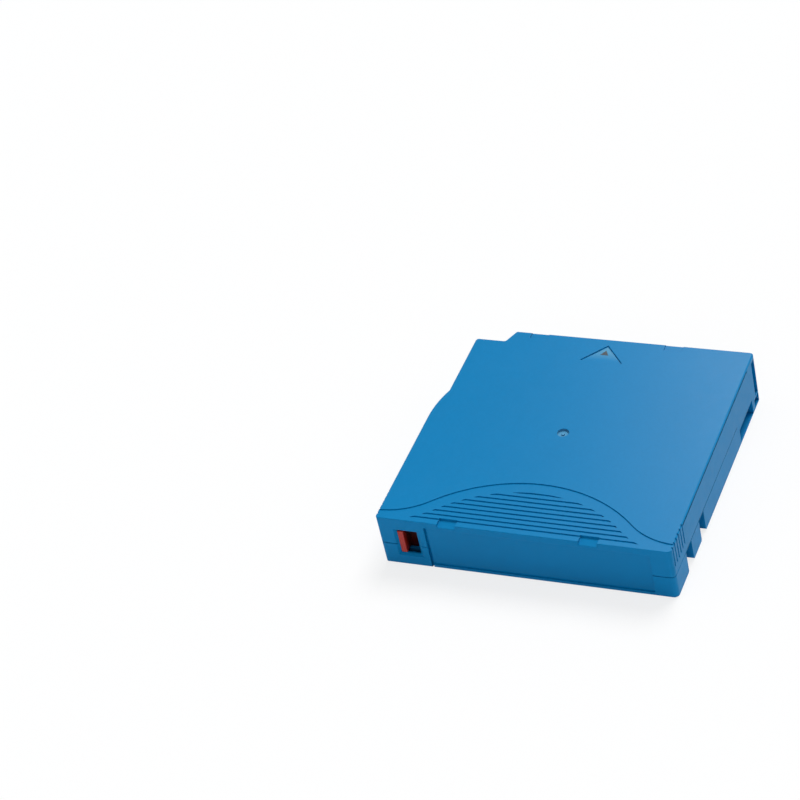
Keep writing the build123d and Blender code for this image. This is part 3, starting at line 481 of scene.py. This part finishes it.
def film(name, rgb, edge):
    """Coated tape seen on its face: dark and smooth, with faint lines along its length."""
    n = ShaderNodes(name)
    lines = n.bands(n.axes()[2], 0.4 * MM, 3.0)
    mixed = n.mix(lines, shade(rgb, 0.8), shade(rgb, 1.35))
    gloss = n.spread(lines, 0.2, 0.32, 0.3, 0.7)
    return n.surface(Base_Color=mixed, Roughness=gloss, Normal=n.rounded(edge),
                     Specular_IOR_Level=0.6)


def laminate(name, finish, box):
    """Green board with the nested copper loops of an aerial round the chip.

    The board leans by 45 degrees, so a length down its face is root two times that along z."""
    n = ShaderNodes(name)
    low, high = box
    centre = (low + high) / 2
    x, _, z = n.axes()
    across = n.maths("ABSOLUTE", n.maths("SUBTRACT", x, centre.x))
    down = n.maths("ABSOLUTE", n.maths("SUBTRACT", z, centre.z))
    edge_x = n.maths("SUBTRACT", (high.x - low.x) / 2, across)
    edge_z = n.maths("MULTIPLY", n.maths("SUBTRACT", (high.z - low.z) / 2, down), math.sqrt(2.0))
    inset = n.maths("MINIMUM", edge_x, edge_z)
    wave = n.maths("SINE", n.maths("MULTIPLY", inset, math.tau / finish.loop_pitch))
    band = n.maths("MULTIPLY", n.maths("GREATER_THAN", inset, finish.loops_start),
                   n.maths("LESS_THAN", inset, finish.loops_end))
    copper = n.maths("MULTIPLY", n.maths("GREATER_THAN", wave, 0.1), band)
    green = n.mix(n.noise(0.8 * MM, 3.0), shade(finish.board), shade(finish.board_pale))
    mixed = n.mix(copper, green, shade(finish.copper))
    gloss = n.spread(n.noise(1.0 * MM, 2.0), 0.3, 0.42)
    normal = n.bump(copper, 0.03 * MM, 0.8, n.rounded(0.06 * MM))
    return n.surface(Base_Color=mixed, Roughness=gloss, Normal=normal)


def printed(name, rgb):
    """Matt printing ink with a slightly uneven coat."""
    n = ShaderNodes(name)
    mixed = n.mix(n.noise(0.5 * MM, 3.0), shade(rgb, 0.8), shade(rgb, 1.3))
    gloss = n.spread(n.noise(0.4 * MM, 2.0), 0.5, 0.62)
    return n.surface(Base_Color=mixed, Roughness=gloss, Specular_IOR_Level=0.2)


# Pieces

def dress(node, material):
    """Gives a frame piece its material."""
    data = frame["nodes"][node].data
    data.materials.clear()
    data.materials.append(material)


def piece_from(name, mesh, replaced, material=None):
    """A finished piece of the case at the origin, which stands for the replaced ones."""
    made = bpy.data.objects.new(name, mesh)
    bpy.context.scene.collection.objects.link(made)
    if material is not None:
        mesh.materials.append(material)
    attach(made, "case")
    if replaced:
        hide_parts(*replaced)
    return made


def mesh_of(name, build):
    """The mesh that a BMesh holds, under its own name. The BMesh goes."""
    made = bpy.data.meshes.new(name)
    build.to_mesh(made)
    build.free()
    return made


def run_tree(tree, name, start_mesh, values):
    """The plain mesh that a Geometry Nodes tree makes of a mesh, its inputs set by name."""
    holder = bpy.data.objects.new(name + "_holder", start_mesh)
    bpy.context.scene.collection.objects.link(holder)
    modifier = holder.modifiers.new("Build", "NODES")
    modifier.node_group = tree
    for item in tree.interface.items_tree:
        if item.item_type == "SOCKET" and item.in_out == "INPUT" and item.name in values:
            modifier[item.identifier] = values[item.name]
    bpy.context.view_layer.update()
    graph = bpy.context.evaluated_depsgraph_get()
    mesh = bpy.data.meshes.new_from_object(holder.evaluated_get(graph))
    mesh.name = name
    bpy.data.objects.remove(holder)
    return mesh


class GeometryTree(NodeBuilder):
    """Builds a Geometry Nodes tree with named inputs."""

    def __init__(self, name):
        super().__init__(bpy.data.node_groups.new(name, "GeometryNodeTree"))
        for way in ("INPUT", "OUTPUT"):
            self.tree.interface.new_socket("Geometry", in_out=way,
                                           socket_type="NodeSocketGeometry")
        self.start = self.node("NodeGroupInput")
        self.end = self.node("NodeGroupOutput")

    def entry(self, name, kind):
        """A named input of the tree."""
        self.tree.interface.new_socket(name, in_out="INPUT", socket_type=kind)
        return self.start.outputs[name]

    def finish(self, geometry, material):
        """Ends the tree in real geometry with its material."""
        real = self.node("GeometryNodeRealizeInstances", {"Geometry": geometry})
        painted = self.node("GeometryNodeSetMaterial", {
            "Geometry": real.outputs["Geometry"], "Material": material})
        self.feed(self.end.inputs["Geometry"], painted.outputs["Geometry"])
        return self.tree


def spring_tree():
    """Coil of round wire about its own z axis, with a closed turn at each end."""
    g = GeometryTree("compression_spring")
    material = g.entry("Material", "NodeSocketMaterial")
    radius = g.entry("Coil Radius", "NodeSocketFloat")
    rise = g.entry("Length", "NodeSocketFloat")
    turns = g.entry("Turns", "NodeSocketFloat")
    wire = g.entry("Wire Radius", "NodeSocketFloat")
    steps = g.entry("Turn Steps", "NodeSocketInt")
    sides = g.entry("Wire Sides", "NodeSocketInt")
    coil = g.node("GeometryNodeCurveSpiral", {
        "Resolution": steps, "Rotations": turns, "Start Radius": radius, "End Radius": radius,
        "Height": rise})
    along = g.node("GeometryNodeSplineParameter").outputs["Factor"]
    dead = g.maths("DIVIDE", 1.0, turns)
    rest = g.maths("SUBTRACT", 1.0, dead)
    closed = g.maths("DIVIDE", g.maths("MULTIPLY", wire, 2.0), rise)
    foot = g.maths("MINIMUM", g.maths("DIVIDE", along, dead), 1.0)
    head = g.maths("MAXIMUM", g.maths("DIVIDE", g.maths("SUBTRACT", along, rest), dead), 0.0)
    middle = g.spread(along, 0.0, 1.0, dead, rest)
    free = g.maths("SUBTRACT", 1.0, g.maths("MULTIPLY", closed, 2.0))
    height = g.maths("ADD", g.maths("MULTIPLY", g.maths("ADD", foot, head), closed),
                     g.maths("MULTIPLY", middle, free))
    spot = g.node("GeometryNodeInputPosition").outputs["Position"]
    split = g.node("ShaderNodeSeparateXYZ", {"Vector": spot})
    joined = g.node("ShaderNodeCombineXYZ", {
        "X": split.outputs["X"], "Y": split.outputs["Y"], "Z": g.maths("MULTIPLY", height, rise)})
    shaped = g.node("GeometryNodeSetPosition", {
        "Geometry": coil.outputs["Curve"], "Position": joined.outputs["Vector"]})
    section = g.node("GeometryNodeCurvePrimitiveCircle", {"Resolution": sides, "Radius": wire},
                     mode="RADIUS")
    tube = g.node("GeometryNodeCurveToMesh", {
        "Curve": shaped.outputs["Geometry"], "Profile Curve": section.outputs["Curve"],
        "Fill Caps": True})
    smooth = g.node("GeometryNodeSetShadeSmooth", {"Geometry": tube.outputs["Mesh"]})
    return g.finish(smooth.outputs["Geometry"], material)


def screw_tree():
    """One screw set on each point of a mesh."""
    g = GeometryTree("set_screws")
    material = g.entry("Material", "NodeSocketMaterial")
    pattern = g.entry("Screw", "NodeSocketObject")
    info = g.node("GeometryNodeObjectInfo", {"Object": pattern})
    points = g.node("GeometryNodeMeshToPoints", {"Mesh": g.start.outputs["Geometry"]})
    placed = g.node("GeometryNodeInstanceOnPoints", {
        "Points": points.outputs["Points"], "Instance": info.outputs["Geometry"]})
    return g.finish(placed.outputs["Instances"], material)


def ring(mesh, radius, height, count):
    """Vertices of one upright-axis ring."""
    return [mesh.verts.new((radius * math.cos(math.tau * index / count),
                            radius * math.sin(math.tau * index / count), height))
            for index in range(count)]


def skin(mesh, lower, upper):
    """Quads between two rings of the same count."""
    count = len(lower)
    for index in range(count):
        after = (index + 1) % count
        mesh.faces.new((lower[index], lower[after], upper[after], upper[index]))


def screw_mesh(sizes, head_radius, head_height, shank_radius, shank_length):
    """Screw that points up, head at z = 0, with a cross recess and a running thread."""
    core = shank_radius - sizes.thread_depth
    corner = 0.3 * sizes.head_round
    mesh = bmesh.new()
    profile = [(head_radius - sizes.head_round, 0.0),
               (head_radius - corner, corner),
               (head_radius, sizes.head_round),
               (head_radius, head_height),
               (core, head_height)]
    rings = [ring(mesh, radius, height, sizes.facets) for radius, height in profile]
    for lower, upper in zip(rings, rings[1:]):
        skin(mesh, lower, upper)
    steps = int(shank_length / sizes.thread_pitch * sizes.thread_rings)
    last = rings[-1]
    for step in range(1, steps + 1):
        level = thread_ring(mesh, sizes, core, head_height, shank_length, step / steps)
        skin(mesh, last, level)
        last = level
    mesh.faces.new(last)
    cross_recess(mesh, rings[0], sizes)
    bmesh.ops.recalc_face_normals(mesh, faces=mesh.faces)
    return mesh_of("screw_pattern", mesh)


def thread_ring(mesh, sizes, core, start, shank_length, share):
    """One ring of the shank, which bulges where the thread runs and narrows at the tip."""
    rise = shank_length * share
    taper = min(1.0, (shank_length - rise) / sizes.tip_length)
    width = sizes.tip_width + (1.0 - sizes.tip_width) * taper
    level = []
    for index in range(sizes.facets):
        turn = math.tau * index / sizes.facets
        phase = rise / sizes.thread_pitch - index / sizes.facets
        crest = max(0.0, 1.0 - 4.0 * abs(phase - math.floor(phase) - 0.5))
        radius = (core + crest * sizes.thread_depth) * width
        level.append(mesh.verts.new((radius * math.cos(turn), radius * math.sin(turn),
                                     start + rise)))
    return level


def cross_recess(mesh, rim, sizes):
    """Closes the head with a tapering cross that is sunk into it."""
    half = sizes.recess_width / 2
    reach = sizes.recess_radius
    corners = []
    for quarter in range(4):
        turn = math.tau * quarter / 4
        for along, side in ((reach, -half), (reach, half), (half, half)):
            corners.append((along * math.cos(turn) - side * math.sin(turn),
                            along * math.sin(turn) + side * math.cos(turn)))
    share = sizes.recess_floor
    mouth = [mesh.verts.new((x, y, 0.0)) for x, y in corners]
    floor = [mesh.verts.new((x * share, y * share, sizes.recess_depth)) for x, y in corners]
    skin(mesh, mouth, floor)
    mesh.faces.new(floor)
    edges = []
    for loop in (rim, mouth):
        for index, vertex in enumerate(loop):
            after = loop[(index + 1) % len(loop)]
            edges.append(mesh.edges.get((vertex, after)) or mesh.edges.new((vertex, after)))
    bmesh.ops.triangle_fill(mesh, use_beauty=True, use_dissolve=False, edges=edges)


# Operators

PHOTO_WIDTH = 800.0
SENSOR_WIDTH = 36.0


class CartridgeOperator:
    """What the operators share."""

    bl_options = {"REGISTER", "UNDO"}


class SetCamera(CartridgeOperator, bpy.types.Operator):
    """Stand the camera where the photograph was taken from"""

    bl_idname = "cartridge.set_camera"
    bl_label = "Camera"

    def execute(self, context):
        studio = context.scene.cartridge_studio
        data = bpy.data.cameras.new("photo_camera")
        data.sensor_width = SENSOR_WIDTH
        data.lens = SENSOR_WIDTH * studio.focal_pixels / PHOTO_WIDTH
        data.clip_start = 0.01
        data.clip_end = 50.0
        camera = bpy.data.objects.new("photo_camera", data)
        context.scene.collection.objects.link(camera)
        flat = math.cos(studio.elevation)
        back = Vector((math.sin(studio.azimuth) * flat, -math.cos(studio.azimuth) * flat,
                       math.sin(studio.elevation)))
        level = UP.cross(back).normalized()
        upright = back.cross(level)
        across = math.cos(studio.roll) * level - math.sin(studio.roll) * upright
        above = math.sin(studio.roll) * level + math.cos(studio.roll) * upright
        turn = Matrix((across, above, back)).transposed().to_4x4()
        camera.matrix_world = Matrix.Translation(studio.camera_place) @ turn
        context.scene.camera = camera
        return {"FINISHED"}


class BuildStudio(CartridgeOperator, bpy.types.Operator):
    """Lay the pale floor and set the lights"""

    bl_idname = "cartridge.build_studio"
    bl_label = "Floor and lights"

    def execute(self, context):
        studio = context.scene.cartridge_studio
        self.lay_floor(context, studio)
        self.add_sun(context, studio, "key_light", studio.key, studio.key_from, (1.0, 1.0, 1.0))
        self.add_sun(context, studio, "fill_light", studio.fill, studio.fill_from,
                     studio.fill_tint)
        self.add_softbox(context, studio)
        self.set_world(context, studio)
        context.scene.view_settings.view_transform = "Standard"
        return {"FINISHED"}

    def lay_floor(self, context, studio):
        """Wide round floor that is seen part plain white, so that its shadow is faint."""
        n = ShaderNodes("studio_floor")
        dull = n.node("ShaderNodeBsdfDiffuse", {"Color": shade(studio.floor)})
        white = n.node("ShaderNodeEmission", {"Color": (1.0, 1.0, 1.0, 1.0), "Strength": 1.0})
        both = n.node("ShaderNodeMixShader", {
            0: n.maths("MULTIPLY", n.seen(), studio.floor_white), 1: dull.outputs["BSDF"],
            2: white.outputs["Emission"]})
        n.feed(n.output.inputs["Surface"], both.outputs["Shader"])
        mesh = bmesh.new()
        mesh.faces.new(ring(mesh, studio.floor_radius, height=0.0, count=96))
        data = mesh_of("studio_floor", mesh)
        data.materials.append(n.material)
        floor = bpy.data.objects.new("studio_floor", data)
        context.scene.collection.objects.link(floor)

    def add_sun(self, context, studio, name, strength, come_from, tint):
        """Soft sun that shines from the direction called come_from."""
        data = bpy.data.lights.new(name, "SUN")
        data.energy = strength
        data.angle = studio.sun_width
        data.color = tint
        self.add_lamp(context, name, data, Vector(come_from))

    def add_softbox(self, context, studio):
        """Softbox near the rear. It is only mirrored, on the right of the roof above all."""
        data = bpy.data.lights.new("sheen_light", "AREA")
        data.shape = "RECTANGLE"
        data.size = studio.sheen_width
        data.size_y = studio.sheen_height
        data.energy = studio.sheen
        lamp = self.add_lamp(context, "sheen_light", data, studio.sheen_place - studio.sheen_aim)
        lamp.location = studio.sheen_place
        lamp.visible_diffuse = False

    def add_lamp(self, context, name, data, come_from):
        """Lamp whose back is turned towards come_from."""
        lamp = bpy.data.objects.new(name, data)
        lamp.rotation_mode = "QUATERNION"
        lamp.rotation_quaternion = come_from.to_track_quat("Z", "Y")
        context.scene.collection.objects.link(lamp)
        return lamp

    def set_world(self, context, studio):
        """Even dim light, but seen and mirrored as white low down and dimmer overhead."""
        world = bpy.data.worlds.new("studio_world")
        world.use_nodes = True
        world.node_tree.nodes.clear()
        n = NodeBuilder(world.node_tree)
        ray = n.node("ShaderNodeTexCoord").outputs["Generated"]
        height = n.node("ShaderNodeSeparateXYZ", {"Vector": ray}).outputs["Z"]
        shown = n.spread(height, 1.0, studio.overhead, studio.white_to, studio.dim_from)
        strength = n.spread(n.seen(), studio.ambient, shown)
        sky = n.node("ShaderNodeBackground", {"Strength": strength})
        n.node("ShaderNodeOutputWorld", {"Surface": sky.outputs["Background"]})
        context.scene.world = world


class FinishCase(CartridgeOperator, bpy.types.Operator):
    """Give both halves of the case their grained blue"""

    bl_idname = "cartridge.finish_case"
    bl_label = "Case halves"

    def execute(self, context):
        areas = context.scene.cartridge_areas
        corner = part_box("upper_case")[1]
        arrow = (Vector((0.0, corner.y - areas.arrow_from_rear, corner.z)), areas.arrow_length,
                 areas.arrow_width)
        low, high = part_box("reel_hub")
        gate = ((low + high) / 2, areas.gate_radius)
        material = case_material(context.scene.cartridge_case, self.label_box(areas), arrow,
                                 gate, self.side_gaps(areas, corner))
        dress("upper_case", material)
        dress("lower_case", material)
        return {"FINISHED"}

    def label_box(self, areas):
        """Box round the label place, about its mount."""
        panel = next(m for m in frame["record"]["mounts"] if m["name"] == "label_panel")
        centre = Vector(panel["pos_m"])
        half = Vector((areas.label_width / 2, areas.label_reach, areas.label_height / 2))
        return centre - half, centre + half

    def side_gaps(self, areas, corner):
        """Boxes in which painted shade darkens the slot under the roof and the seam of the right
        side.

        The corner is the case's right rear top one, and the case is centred on y."""
        right = corner.x - areas.side_skin
        start = areas.side_start - corner.y
        slot = (Vector((corner.x - areas.slot_depth, start, corner.z - areas.slot_bottom)),
                Vector((right, corner.y - areas.slot_from_rear, corner.z - areas.slot_top)))
        seam = (Vector((corner.x - areas.seam_depth, start, areas.seam_bottom)),
                Vector((right, corner.y - areas.seam_from_rear, areas.seam_top)))
        return slot, seam


class FinishDoor(CartridgeOperator, bpy.types.Operator):
    """Give the sliding door its blue"""

    bl_idname = "cartridge.finish_door"
    bl_label = "Door"

    def execute(self, context):
        finish = context.scene.cartridge_case
        dress("door", moulded("moulded_door_blue", finish.door, finish.roughness, finish.grain,
                              finish.grain_depth, finish.edge_round, finish.specular))
        return {"FINISHED"}


class FinishTab(CartridgeOperator, bpy.types.Operator):
    """Give the write protect tab its red, and painted shade that darkens its plate behind the ridge
    """

    bl_idname = "cartridge.finish_tab"
    bl_label = "Write protect tab"

    def execute(self, context):
        finish = context.scene.cartridge_case
        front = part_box("write_protect_tab")[0].y
        # The plate behind the ridge gets painted shade, darker the deeper it lies.
        dress("write_protect_tab", moulded(
            "moulded_tab_red", finish.tab, finish.tab_roughness, finish.grain,
            depth=0.3 * finish.grain_depth, edge=finish.edge_round,
            painted_shade=(front + finish.shade_start, front + finish.shade_end)))
        return {"FINISHED"}


class FinishReel(CartridgeOperator, bpy.types.Operator):
    """Give the hub, the upper flange, the plate and the wound tape their finishes"""

    bl_idname = "cartridge.finish_reel"
    bl_label = "Reel"

    def execute(self, context):
        reel = context.scene.cartridge_reel
        metals = context.scene.cartridge_metals
        low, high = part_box("reel_hub")
        axis = (low + high) / 2
        grey = moulded("moulded_reel_grey", reel.hub, roughness=0.4, grain=0.3 * MM,
                       depth=0.006 * MM, edge=0.08 * MM)
        dress("reel_hub", grey)
        dress("upper_flange", grey)
        dress("reel_plate", turned("stamped_plate_steel", metals.plate, roughness=0.34,
                                   centre=axis, pitch=0.25 * MM, edge=0.08 * MM))
        dress("tape_pack", turned("wound_tape_edge", reel.tape, roughness=0.36, centre=axis,
                                  pitch=reel.turn_pitch, edge=0.05 * MM, metallic=0.0))
        return {"FINISHED"}


class FinishBrake(CartridgeOperator, bpy.types.Operator):
    """Give the brake and the release pad their finishes"""

    bl_idname = "cartridge.finish_brake"
    bl_label = "Brake and release pad"

    def execute(self, context):
        reel = context.scene.cartridge_reel
        dress("brake_button", moulded("moulded_brake_white", reel.brake, roughness=0.38,
                                      grain=0.3 * MM, depth=0.006 * MM, edge=0.08 * MM))
        dress("release_pad", moulded("moulded_pad_black", reel.pad, roughness=0.45,
                                     grain=0.3 * MM, depth=0.008 * MM, edge=0.1 * MM))
        return {"FINISHED"}


class FinishLeader(CartridgeOperator, bpy.types.Operator):
    """Give the leader pin, its clip, the free tape and the leaf springs their finishes"""

    bl_idname = "cartridge.finish_leader"
    bl_label = "Leader pin and tape"

    def execute(self, context):
        reel = context.scene.cartridge_reel
        metals = context.scene.cartridge_metals
        low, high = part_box("leader_pin")
        dress("leader_pin", turned("polished_pin_steel", metals.pin, roughness=0.2,
                                   centre=(low + high) / 2, pitch=0.3 * MM, edge=0.06 * MM))
        dress("pin_clip", moulded("moulded_clip_black", reel.pad, roughness=0.4,
                                  grain=0.25 * MM, depth=0.006 * MM, edge=0.06 * MM))
        dress("leader_tape", film("coated_tape", reel.tape, edge=0.03 * MM))
        leaf = steel("rolled_spring_steel", metals.leaf, roughness=0.3, finer=(1.0, 1.0, 12.0),
                     size=0.6 * MM, depth=0.004 * MM, edge=0.05 * MM)
        dress("lower_leaf_spring", leaf)
        dress("upper_leaf_spring", leaf)
        return {"FINISHED"}


class FinishMemory(CartridgeOperator, bpy.types.Operator):
    """Give the memory board and its chip their finishes"""

    bl_idname = "cartridge.finish_memory"
    bl_label = "Memory board and chip"

    def execute(self, context):
        finish = context.scene.cartridge_memory
        dress("memory_board", laminate("green_laminate", finish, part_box("memory_board")))
        dress("memory_chip", moulded("moulded_chip_black", finish.chip, roughness=0.5,
                                     grain=0.2 * MM, depth=0.01 * MM, edge=0.06 * MM))
        return {"FINISHED"}


class BuildSprings(CartridgeOperator, bpy.types.Operator):
    """Coil the brake spring and the door spring from round wire"""

    bl_idname = "cartridge.build_springs"
    bl_label = "Coiled springs"

    def execute(self, context):
        sizes = context.scene.cartridge_springs
        drawn = steel("drawn_spring_wire", context.scene.cartridge_metals.wire, roughness=0.26,
                      finer=(1.0, 1.0, 1.0), size=0.3 * MM, depth=0.003 * MM, edge=0.02 * MM)
        inputs = {"Material": drawn, "Turn Steps": sizes.turn_steps,
                  "Wire Sides": sizes.wire_sides}
        tree = spring_tree()
        self.coil(tree, inputs, "brake_spring", "brake_coil", sizes.brake_wire,
                  sizes.brake_turns, joint="brake_lift", axis=(0.0, 0.0, 1.0), held_high=True)
        self.coil(tree, inputs, "door_spring", "door_coil", sizes.door_wire,
                  sizes.door_turns, joint="door_slide", axis=(0.0, 1.0, 0.0), held_high=False)
        return {"FINISHED"}

    def coil(self, tree, inputs, node, name, wire, turns, joint, axis, held_high):
        """One spring in the room of its frame piece."""
        low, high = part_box(node)
        along = Vector(axis)
        length_now = (high - low).dot(along)
        radius = (high.x - low.x - wire) / 2
        mesh = run_tree(tree, name, bpy.data.meshes.new(name + "_start"), {
            **inputs, "Coil Radius": radius, "Length": length_now - wire, "Turns": turns,
            "Wire Radius": wire / 2})
        start = (low + high) / 2 - along * (length_now - wire) / 2
        turn = UP.rotation_difference(along).to_matrix().to_4x4()
        mesh.transform(Matrix.Translation(start) @ turn)
        made = piece_from(name, mesh, [node])
        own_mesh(made)


class BuildScrews(CartridgeOperator, bpy.types.Operator):
    """Set a threaded screw with a cross recess in each corner"""

    bl_idname = "cartridge.build_screws"
    bl_label = "Case screws"

    def execute(self, context):
        sizes = context.scene.cartridge_screws
        places, head_radius, head_height, shank_radius, low, high = self.measure()
        pattern = bpy.data.objects.new("screw_pattern", screw_mesh(
            sizes, head_radius, head_height, shank_radius, high - low - head_height))
        context.scene.collection.objects.link(pattern)
        start = bpy.data.meshes.new("screw_places")
        start.from_pydata([(x, y, low) for x, y in places], [], [])
        zinc = steel("zinc_screw_steel", context.scene.cartridge_metals.zinc, roughness=0.36,
                     finer=(1.0, 1.0, 6.0), size=0.4 * MM, depth=0.006 * MM, edge=0.05 * MM)
        mesh = run_tree(screw_tree(), "threaded_screws", start,
                        {"Material": zinc, "Screw": pattern})
        bpy.data.objects.remove(pattern)
        for polygon in mesh.polygons:
            polygon.use_smooth = True
        mesh.set_sharp_from_angle(angle=math.radians(35.0))
        piece_from("threaded_screws", mesh, ["case_screws"])
        return {"FINISHED"}

    def measure(self):
        """Places and sizes of the screws, from the frame's own screws."""
        points = [v.co.copy() for v in frame["nodes"]["case_screws"].data.vertices]
        low = min(p.z for p in points)
        high = max(p.z for p in points)
        screws = self.sort_points(points, apart=8.0 * MM)
        places = [self.middle(members) for members in screws]
        reach = [((p.xy - places[0]).length, p.z) for p in screws[0]]
        close = 0.01 * MM
        head_radius = max(r for r, _ in reach)
        shank_radius = max(r for r, z in reach if z > high - close)
        head_height = max(z for r, z in reach if r > head_radius - close) - low
        return places, head_radius, head_height, shank_radius, low, high

    def sort_points(self, points, apart):
        """The points of each screw. Two screws stand more than apart from each other."""
        screws = []
        for point in points:
            near = [screw for screw in screws if (screw[0].xy - point.xy).length < apart]
            if near:
                near[0].append(point)
            else:
                screws.append([point])
        return screws

    def middle(self, points):
        """Middle of some points, seen from above."""
        xs = [p.x for p in points]
        ys = [p.y for p in points]
        return Vector(((min(xs) + max(xs)) / 2, (min(ys) + max(ys)) / 2))


class PrintMark(CartridgeOperator, bpy.types.Operator):
    """Print the small dark triangle on the floor of the insertion arrow"""

    bl_idname = "cartridge.print_mark"
    bl_label = "Printed mark"

    def execute(self, context):
        sizes = context.scene.cartridge_mark
        shell = frame["nodes"]["upper_case"]
        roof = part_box("upper_case")[1]
        above = roof.z + 5.0 * MM
        tip = roof.y - sizes.from_rear
        base = tip - sizes.height
        mesh = bmesh.new()
        lower, upper = [], []
        for x, y in ((0.0, tip), (-sizes.width / 2, base), (sizes.width / 2, base)):
            hit, spot, _, _ = shell.ray_cast(Vector((x, y, above)), -UP)
            if not hit:
                raise RuntimeError("the printed mark misses the roof")
            lower.append(mesh.verts.new(spot))
            upper.append(mesh.verts.new(spot + UP * sizes.thickness))
        skin(mesh, lower, upper)
        mesh.faces.new(upper)
        mesh.faces.new(lower[::-1])
        bmesh.ops.recalc_face_normals(mesh, faces=mesh.faces)
        piece_from("printed_mark", mesh_of("printed_mark", mesh), [],
                   printed("dark_print", sizes.ink))
        return {"FINISHED"}


class CartridgePanel(bpy.types.Panel):
    """Lists the steps that finish the cartridge, and the settings they use."""

    bl_idname = "VIEW3D_PT_cartridge"
    bl_label = "Data Tape Cartridge"
    bl_space_type = "VIEW_3D"
    bl_region_type = "UI"
    bl_category = "Cartridge"

    def draw(self, context):
        for step in STEPS:
            self.layout.operator(step.bl_idname)
        for group in GROUPS:
            settings = getattr(context.scene, group)
            for name in settings.__annotations__:
                self.layout.prop(settings, name)


GROUPS = {
    "cartridge_case": CaseFinish,
    "cartridge_areas": CaseAreas,
    "cartridge_reel": ReelFinish,
    "cartridge_metals": MetalFinish,
    "cartridge_memory": MemoryFinish,
    "cartridge_springs": SpringSizes,
    "cartridge_screws": ScrewSizes,
    "cartridge_mark": MarkSizes,
    "cartridge_studio": StudioSettings,
}

STEPS = [
    SetCamera,
    BuildStudio,
    FinishCase,
    FinishDoor,
    FinishTab,
    FinishReel,
    FinishBrake,
    FinishLeader,
    FinishMemory,
    BuildSprings,
    BuildScrews,
    PrintMark,
]


def register():
    for kind in [*GROUPS.values(), *STEPS, CartridgePanel]:
        bpy.utils.register_class(kind)
    for name, kind in GROUPS.items():
        setattr(bpy.types.Scene, name, PointerProperty(type=kind))


def unregister():
    for name in GROUPS:
        delattr(bpy.types.Scene, name)
    for kind in reversed([*GROUPS.values(), *STEPS, CartridgePanel]):
        bpy.utils.unregister_class(kind)


def main():
    """Runs every step in order."""
    register()
    for step in STEPS:
        group, name = step.bl_idname.split(".")
        getattr(getattr(bpy.ops, group), name)()


if __name__ == "__main__":
    main()
